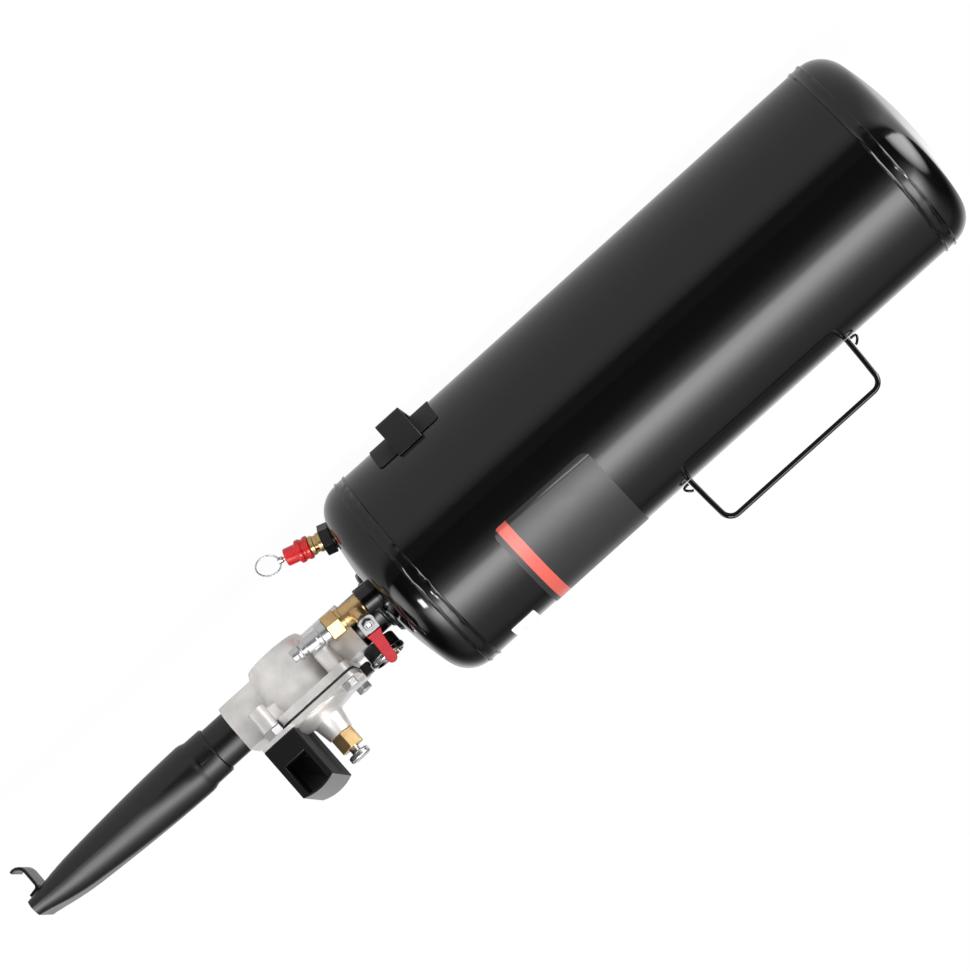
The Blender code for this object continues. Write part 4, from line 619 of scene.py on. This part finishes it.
shell = spun("shell_fine", [(TANK_R - WALL, SEAM_REAR + SHELL_GAP), (TANK_R, SEAM_REAR + SHELL_GAP),
                            (TANK_R, SHELL_MIDDLE), (TANK_R, SEAM_FRONT - SHELL_GAP),
                            (TANK_R - WALL, SEAM_FRONT - SHELL_GAP)], at(0, 0, 0), X_AXIS, ROUND)
settle(shell, "tank_shell", "tank_gloss_black")
rear = spun("rear_head_fine", dish(0) + dish(WALL)[::-1], at(REAR_TANGENT, 0, 0), -X_AXIS, ROUND)
settle(rear, "rear_head", "tank_gloss_black")
hole = [(BUNG_HOLE_R, HEAD_DEPTH - HOLE_DROP), (BUNG_HOLE_R, HEAD_DEPTH - WALL - HOLE_DROP)]
front = spun("front_head_fine", dish(0)[:-1] + hole + dish(WALL)[-2::-1],
             at(FRONT_TANGENT, 0, 0), X_AXIS, ROUND)
settle(front, "front_head", "tank_gloss_black")
print("a head is", round(HEAD_DEPTH, 1), "mm deep")

# %% [markdown]
# The seam weld is a broad, low band with a slightly rough ridge along each
# edge, where the bead washed onto the sheet.  A bump would leave its outline
# perfectly even, so noise moves the points of the ridges themselves.

# %% Seam welds
RIDGE = 1.1               # how far the ridges stand proud of the shell
WAVE_OUT, RIPPLE_OUT = 0.30, 0.22       # how far noise moves a ridge outwards
WAVE_ALONG, RIPPLE_ALONG = 1.3, 0.5     # and along the tank


def seam(name, x, node):
    """A weld seam round the tank, whose ridges wander."""
    half = [(0.35, 0.0), (0.4, 2.3), (0.8, 3.0), (1.15, 3.5), (1.1, 3.9), (0.6, 4.3), (0.1, 4.6)]
    outline = [(TANK_R + r, -w) for r, w in half[:0:-1]] + [(TANK_R + r, w) for r, w in half]
    seam_middle = at(x, 0, 0)
    piece = spun(name, outline, seam_middle, X_AXIS, 2 * ROUND, 180)
    bm = bmesh.new()
    bm.from_mesh(piece.data)
    for vert in bm.verts:
        out_from = Vector((0, vert.co.y, vert.co.z - AXIS_Z))
        proud = (out_from.length / MM - TANK_R) / RIDGE
        if proud < 0.25:
            continue
        wave = rough_noise.noise(Vector((vert.co.x * 60, vert.co.y * 130, vert.co.z * 130)) + seam_middle)
        ripple = rough_noise.noise(Vector((vert.co.x * 200, vert.co.y * 420, vert.co.z * 420)))
        vert.co += out_from.normalized() * (wave * WAVE_OUT + ripple * RIPPLE_OUT) * MM * proud
        vert.co.x += (wave * WAVE_ALONG + ripple * RIPPLE_ALONG) * MM * proud
    bm.to_mesh(piece.data)
    bm.free()
    settle(piece, node, "tank_gloss_black")


seam("front_seam_fine", SEAM_FRONT, "front_seam_weld")
seam("rear_seam_fine", SEAM_REAR, "rear_seam_weld")
print("seams at", SEAM_FRONT, "and", SEAM_REAR, "mm")

# %% [markdown]
# ## Weld beads at the outlet
# The outlet bung is welded into the front head, and the pipe into the bung.  The
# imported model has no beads, so each is a small fillet, spun and then roughened.
# They ride with the head and stand for no node.

# %% Weld beads
BEAD_SINK, BEAD_WAVE = 0.3, 0.22        # how deep a bead's foot sits, and how uneven it is


def bead(name, x, inner_r, leg):
    """A fillet of weld round a pipe or a bung on the tank's axis, its legs this long."""
    outline = ([(inner_r, -BEAD_SINK), (inner_r, leg)]
               + curve_of(inner_r + 0.15 * leg, 0, leg * 0.92, pi / 2, 0, 6)[1:]
               + [(inner_r + leg, -0.5)])
    piece = spun(name, outline, at(x, 0, 0), X_AXIS, 96, 180)
    for vert in piece.data.vertices:
        away = Vector((0, vert.co.y, vert.co.z - AXIS_Z))
        wave = rough_noise.noise(Vector((vert.co.x * 150, vert.co.y * 420, vert.co.z * 420)))
        if away.length > (inner_r + BEAD_SINK) * MM:
            vert.co += (away.normalized() + X_AXIS) * wave * BEAD_WAVE * leg * MM
    piece.data.materials.append(finishes["tank_gloss_black"])
    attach(piece, NODE_BODY["front_head"])


HEAD_TIP = FRONT_TANGENT + HEAD_DEPTH
bead("bung_weld", HEAD_TIP - 1.0, 22.1, 2.6)
bead("pipe_weld", HEAD_TIP + 2.4, 16.8, 1.7)
print("beads near x =", round(HEAD_TIP, 1), "mm")

# %% [markdown]
# ## Wires
# The carrying handle, its eyes and the relief valve's pull ring are bent wire.  A
# curve with a bevel would make them too, but its rings may twist along the path.
# Here each ring of points is placed square to the path, and bridged to the next.

# %% Bridge two rings
def bridge(bm, one, two):
    """Joins two rings of points with a band of faces."""
    edges = [e for ring in (one, two) for e in {e for v in ring for e in v.link_edges}
             if e.verts[0] in ring and e.verts[1] in ring]
    bmesh.ops.bridge_loops(bm, edges=edges)


# %% Sweep a round section along a path
def swept(name, path, radius, normal, closed=False, sides=14, angle=60):
    """A round wire along flat points: rings joined by bridge_loops, none turned round the wire."""
    normal = Vector(normal).normalized()
    bm = bmesh.new()
    rings = []
    count = len(path)
    for i, place in enumerate(path):
        before = path[(i - 1) % count] if closed or i else place
        after = path[(i + 1) % count] if closed or i < count - 1 else place
        along = (after - before).normalized()
        turn = Matrix((normal, along.cross(normal), along)).transposed().to_4x4()
        made = bmesh.ops.create_circle(bm, cap_ends=False, segments=sides, radius=radius * MM,
                                       matrix=Matrix.Translation(place) @ turn)
        rings.append(made["verts"])
    for one, two in zip(rings, rings[1:] + (rings[:1] if closed else [])):
        bridge(bm, one, two)
    if not closed:
        for ring in (rings[0], rings[-1]):
            bmesh.ops.contextual_create(bm, geom=ring)
    bmesh.ops.recalc_face_normals(bm, faces=bm.faces)
    return to_piece(name, bm, angle)


# %% [markdown]
# The handle is one wire with two bends, and a short bent wire stands beside each of
# its feet.  The real ones are welded down.  Here they end a hair above the shell,
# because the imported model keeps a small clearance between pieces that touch.

# %% Handle and its eyes
BEND_R, BEND_Z = 8.0, 107.5             # the handle's two bends
HANDLE_WIRE_R, EYE_WIRE_R = 1.93, 0.93
handle_line = ([(-128.0, 77.9), (-128.8, 95.0)] + curve_of(-137.6, BEND_Z, BEND_R, 0, pi / 2, 8)
               + curve_of(-257.2, BEND_Z, BEND_R, pi / 2, pi, 8) + [(-266.0, 95.0), (-266.8, 77.9)])
Y_AXIS = Vector((0, 1, 0))
settle(swept("handle_wire", [at(x, 0, z) for x, z in handle_line], HANDLE_WIRE_R, Y_AXIS),
       "carry_handle", "wire_gloss_black")
eye = [(0, 5.4), (1.2, 5.1), (2.6, 4.0), (3.9, 2.6), (4.5, 1.4), (4.2, 0.5), (3.0, 0.1), (1.5, 0.0), (0, 0.0)]
EYE_FOOT = 79.05
for name, x, way, node in (("front_eye_wire", -125.75, 1, "handle_eye_front"),
                           ("rear_eye_wire", -269.05, -1, "handle_eye_rear")):
    eye_line = [at(x + way * a, 0, EYE_FOOT + b) for a, b in eye]
    settle(swept(name, eye_line, EYE_WIRE_R, Y_AXIS, sides=12), node, "wire_gloss_black")
print("handle's points:", len(handle_line), "eye's points:", len(eye))

# %% [markdown]
# The pull ring hangs in the hole of the relief valve's stem.  Its place and its
# plane come from the joints, so that it turns about the pin that it really hangs on.

# %% Pull ring
ring_joint = next(j for j in frame["joints"] if j["name"] == "ring_swing")
lift_joint = next(j for j in frame["joints"] if j["name"] == "relief_lift")
ring_pin = Vector(ring_joint["pos_m"])
ring_out = Vector(lift_joint["axis"]).normalized()
ring_side = Vector(ring_joint["axis"]).normalized()
RING_R, RING_WIRE_R, RING_STEPS = 8.6, 0.55, 56
ring_path = [ring_pin + (ring_out * (RING_R - RING_R * cos(2 * pi * i / RING_STEPS))
                         + ring_side * RING_R * sin(2 * pi * i / RING_STEPS)) * MM
             for i in range(RING_STEPS)]
settle(swept("ring_wire", ring_path, RING_WIRE_R, ring_out.cross(ring_side), closed=True, sides=10),
       "pull_ring", "hook_steel")
print("pull ring is", 2 * RING_R, "mm across")

# %% [markdown]
# ## Nozzle
# The nozzle is a round tube pressed flat towards its mouth, which keeps the length
# round its edge.  Scaling a cylinder would shrink that length.  Slots with round
# ends, whose width is worked out from their height, keep it instead.  Each side is
# then pinched out a little into a crease, which adds slightly to it.

# %% A slot with round ends
NOZZLE_ROUND = 19.3       # the tube's radius before it is pressed flat
CREASE = 0.14             # how far each side is pinched out where the two flats meet
CREASE_START, CREASE_GROWS = 240.0, 40.0        # where the crease starts, and over what length


def slot_ring(bm, x, half_h, half_w, count=56):
    """A slot with round ends, its points spaced evenly round its edge."""
    pinch = CREASE * min(1.0, max(0.0, (x - CREASE_START) / CREASE_GROWS)) * half_h
    flat = half_w - half_h
    total = 4 * flat + 2 * pi * half_h
    ring = []
    for i in range(count):
        run = total * i / count
        if run < flat:
            y, z = run, half_h
        elif run < flat + pi * half_h:
            a = pi / 2 - (run - flat) / half_h
            y, z = flat + half_h * cos(a), half_h * sin(a)
        elif run < 3 * flat + pi * half_h:
            y, z = flat - (run - flat - pi * half_h), -half_h
        elif run < 3 * flat + 2 * pi * half_h:
            a = -pi / 2 - (run - 3 * flat - pi * half_h) / half_h
            y, z = -flat + half_h * cos(a), half_h * sin(a)
        else:
            y, z = -flat + (run - 3 * flat - 2 * pi * half_h), half_h
        if abs(y) > flat and pinch:
            y += (1 if y > 0 else -1) * pinch * (1 - abs(z) / half_h) ** 1.5
        ring.append(bm.verts.new(at(x, y, z)))
    for a, b in zip(ring, ring[1:] + ring[:1]):
        bm.edges.new((a, b))
    return ring


def half_width(half_h):
    """Half the slot's width, so that the length round its edge stays the round tube's."""
    return max(half_h, half_h + (2 * pi * NOZZLE_ROUND - 2 * pi * half_h) / 4)


print("the mouth is", round(2 * half_width(6.0), 1), "mm wide")

# %% [markdown]
# The rings are laid from the collar to the mouth outside, and back again inside, and
# bridged one to the next.  The wall then closes at both ends by itself.

# %% Nozzle
NOZZLE_WALL = 1.6
SECTIONS = [(245, 19.2), (253, 19.05), (262, 18.8), (272, 18.4), (282, 17.9), (291, 17.4), (300, 16.8),
            (309, 16.2), (318, 15.5), (327, 14.8), (335, 14.1), (343, 13.4), (350, 12.6), (356, 11.7),
            (362, 10.6), (367, 9.55), (371, 8.6), (375, 7.7), (379, 6.85), (384, 6.0)]
bm = bmesh.new()
outer = [(225.5, 17.0, 17.0), (226.2, 17.6, 17.6), (239.2, 17.75, 17.75), (240.4, 18.1, 18.1),
         (242.4, 18.8, 18.8)] + [(x, h, half_width(h)) for x, h in SECTIONS]
inner = ([(225.5, 16.3, 16.3), (240, 16.3, 16.3)]
         + [(x, h - NOZZLE_WALL, half_width(h) - NOZZLE_WALL) for x, h in SECTIONS])
rings = [slot_ring(bm, *section) for section in outer + inner[::-1]]
for one, two in zip(rings, rings[1:] + rings[:1]):
    bridge(bm, one, two)
bmesh.ops.recalc_face_normals(bm, faces=bm.faces)
settle(to_piece("nozzle_fine", bm, 17), "nozzle", "nozzle_satin_black")
print("nozzle's rings:", len(rings))

# %% [markdown]
# A small square lug stands on the nozzle's collar.  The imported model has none, so
# a bevelled block is added, which rides with the nozzle and stands for no node.

# %% Nozzle lug
LUG_SIZE, LUG_BEVEL = (9.5 * MM, 1.6 * MM, 9.0 * MM), 0.4 * MM
bm = bmesh.new()
bmesh.ops.create_cube(bm, size=1.0, matrix=Matrix.Translation(at(233.5, -18.1, -1.0))
                      @ Matrix.Diagonal((*LUG_SIZE, 1.0)))
bmesh.ops.bevel(bm, geom=bm.edges[:], offset=LUG_BEVEL, affect="EDGES", segments=2, profile=0.5, material=-1)
lug = to_piece("nozzle_lug", bm, 35)
lug.data.materials.append(finishes["nozzle_satin_black"])
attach(lug, NODE_BODY["nozzle"])
print("lug on the collar is made")

# %% [markdown]
# ## Label and sticker
# Both are thin films that follow the tank.  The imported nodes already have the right
# curve, so they are only merged, and shaded smooth up to a wide angle.

# %% Label and sticker
FILM_ANGLE = 60
refine("label", "dark_label", 0, FILM_ANGLE)
refine("sticker", "white_sticker", 0, FILM_ANGLE)
print("label and sticker are refined")
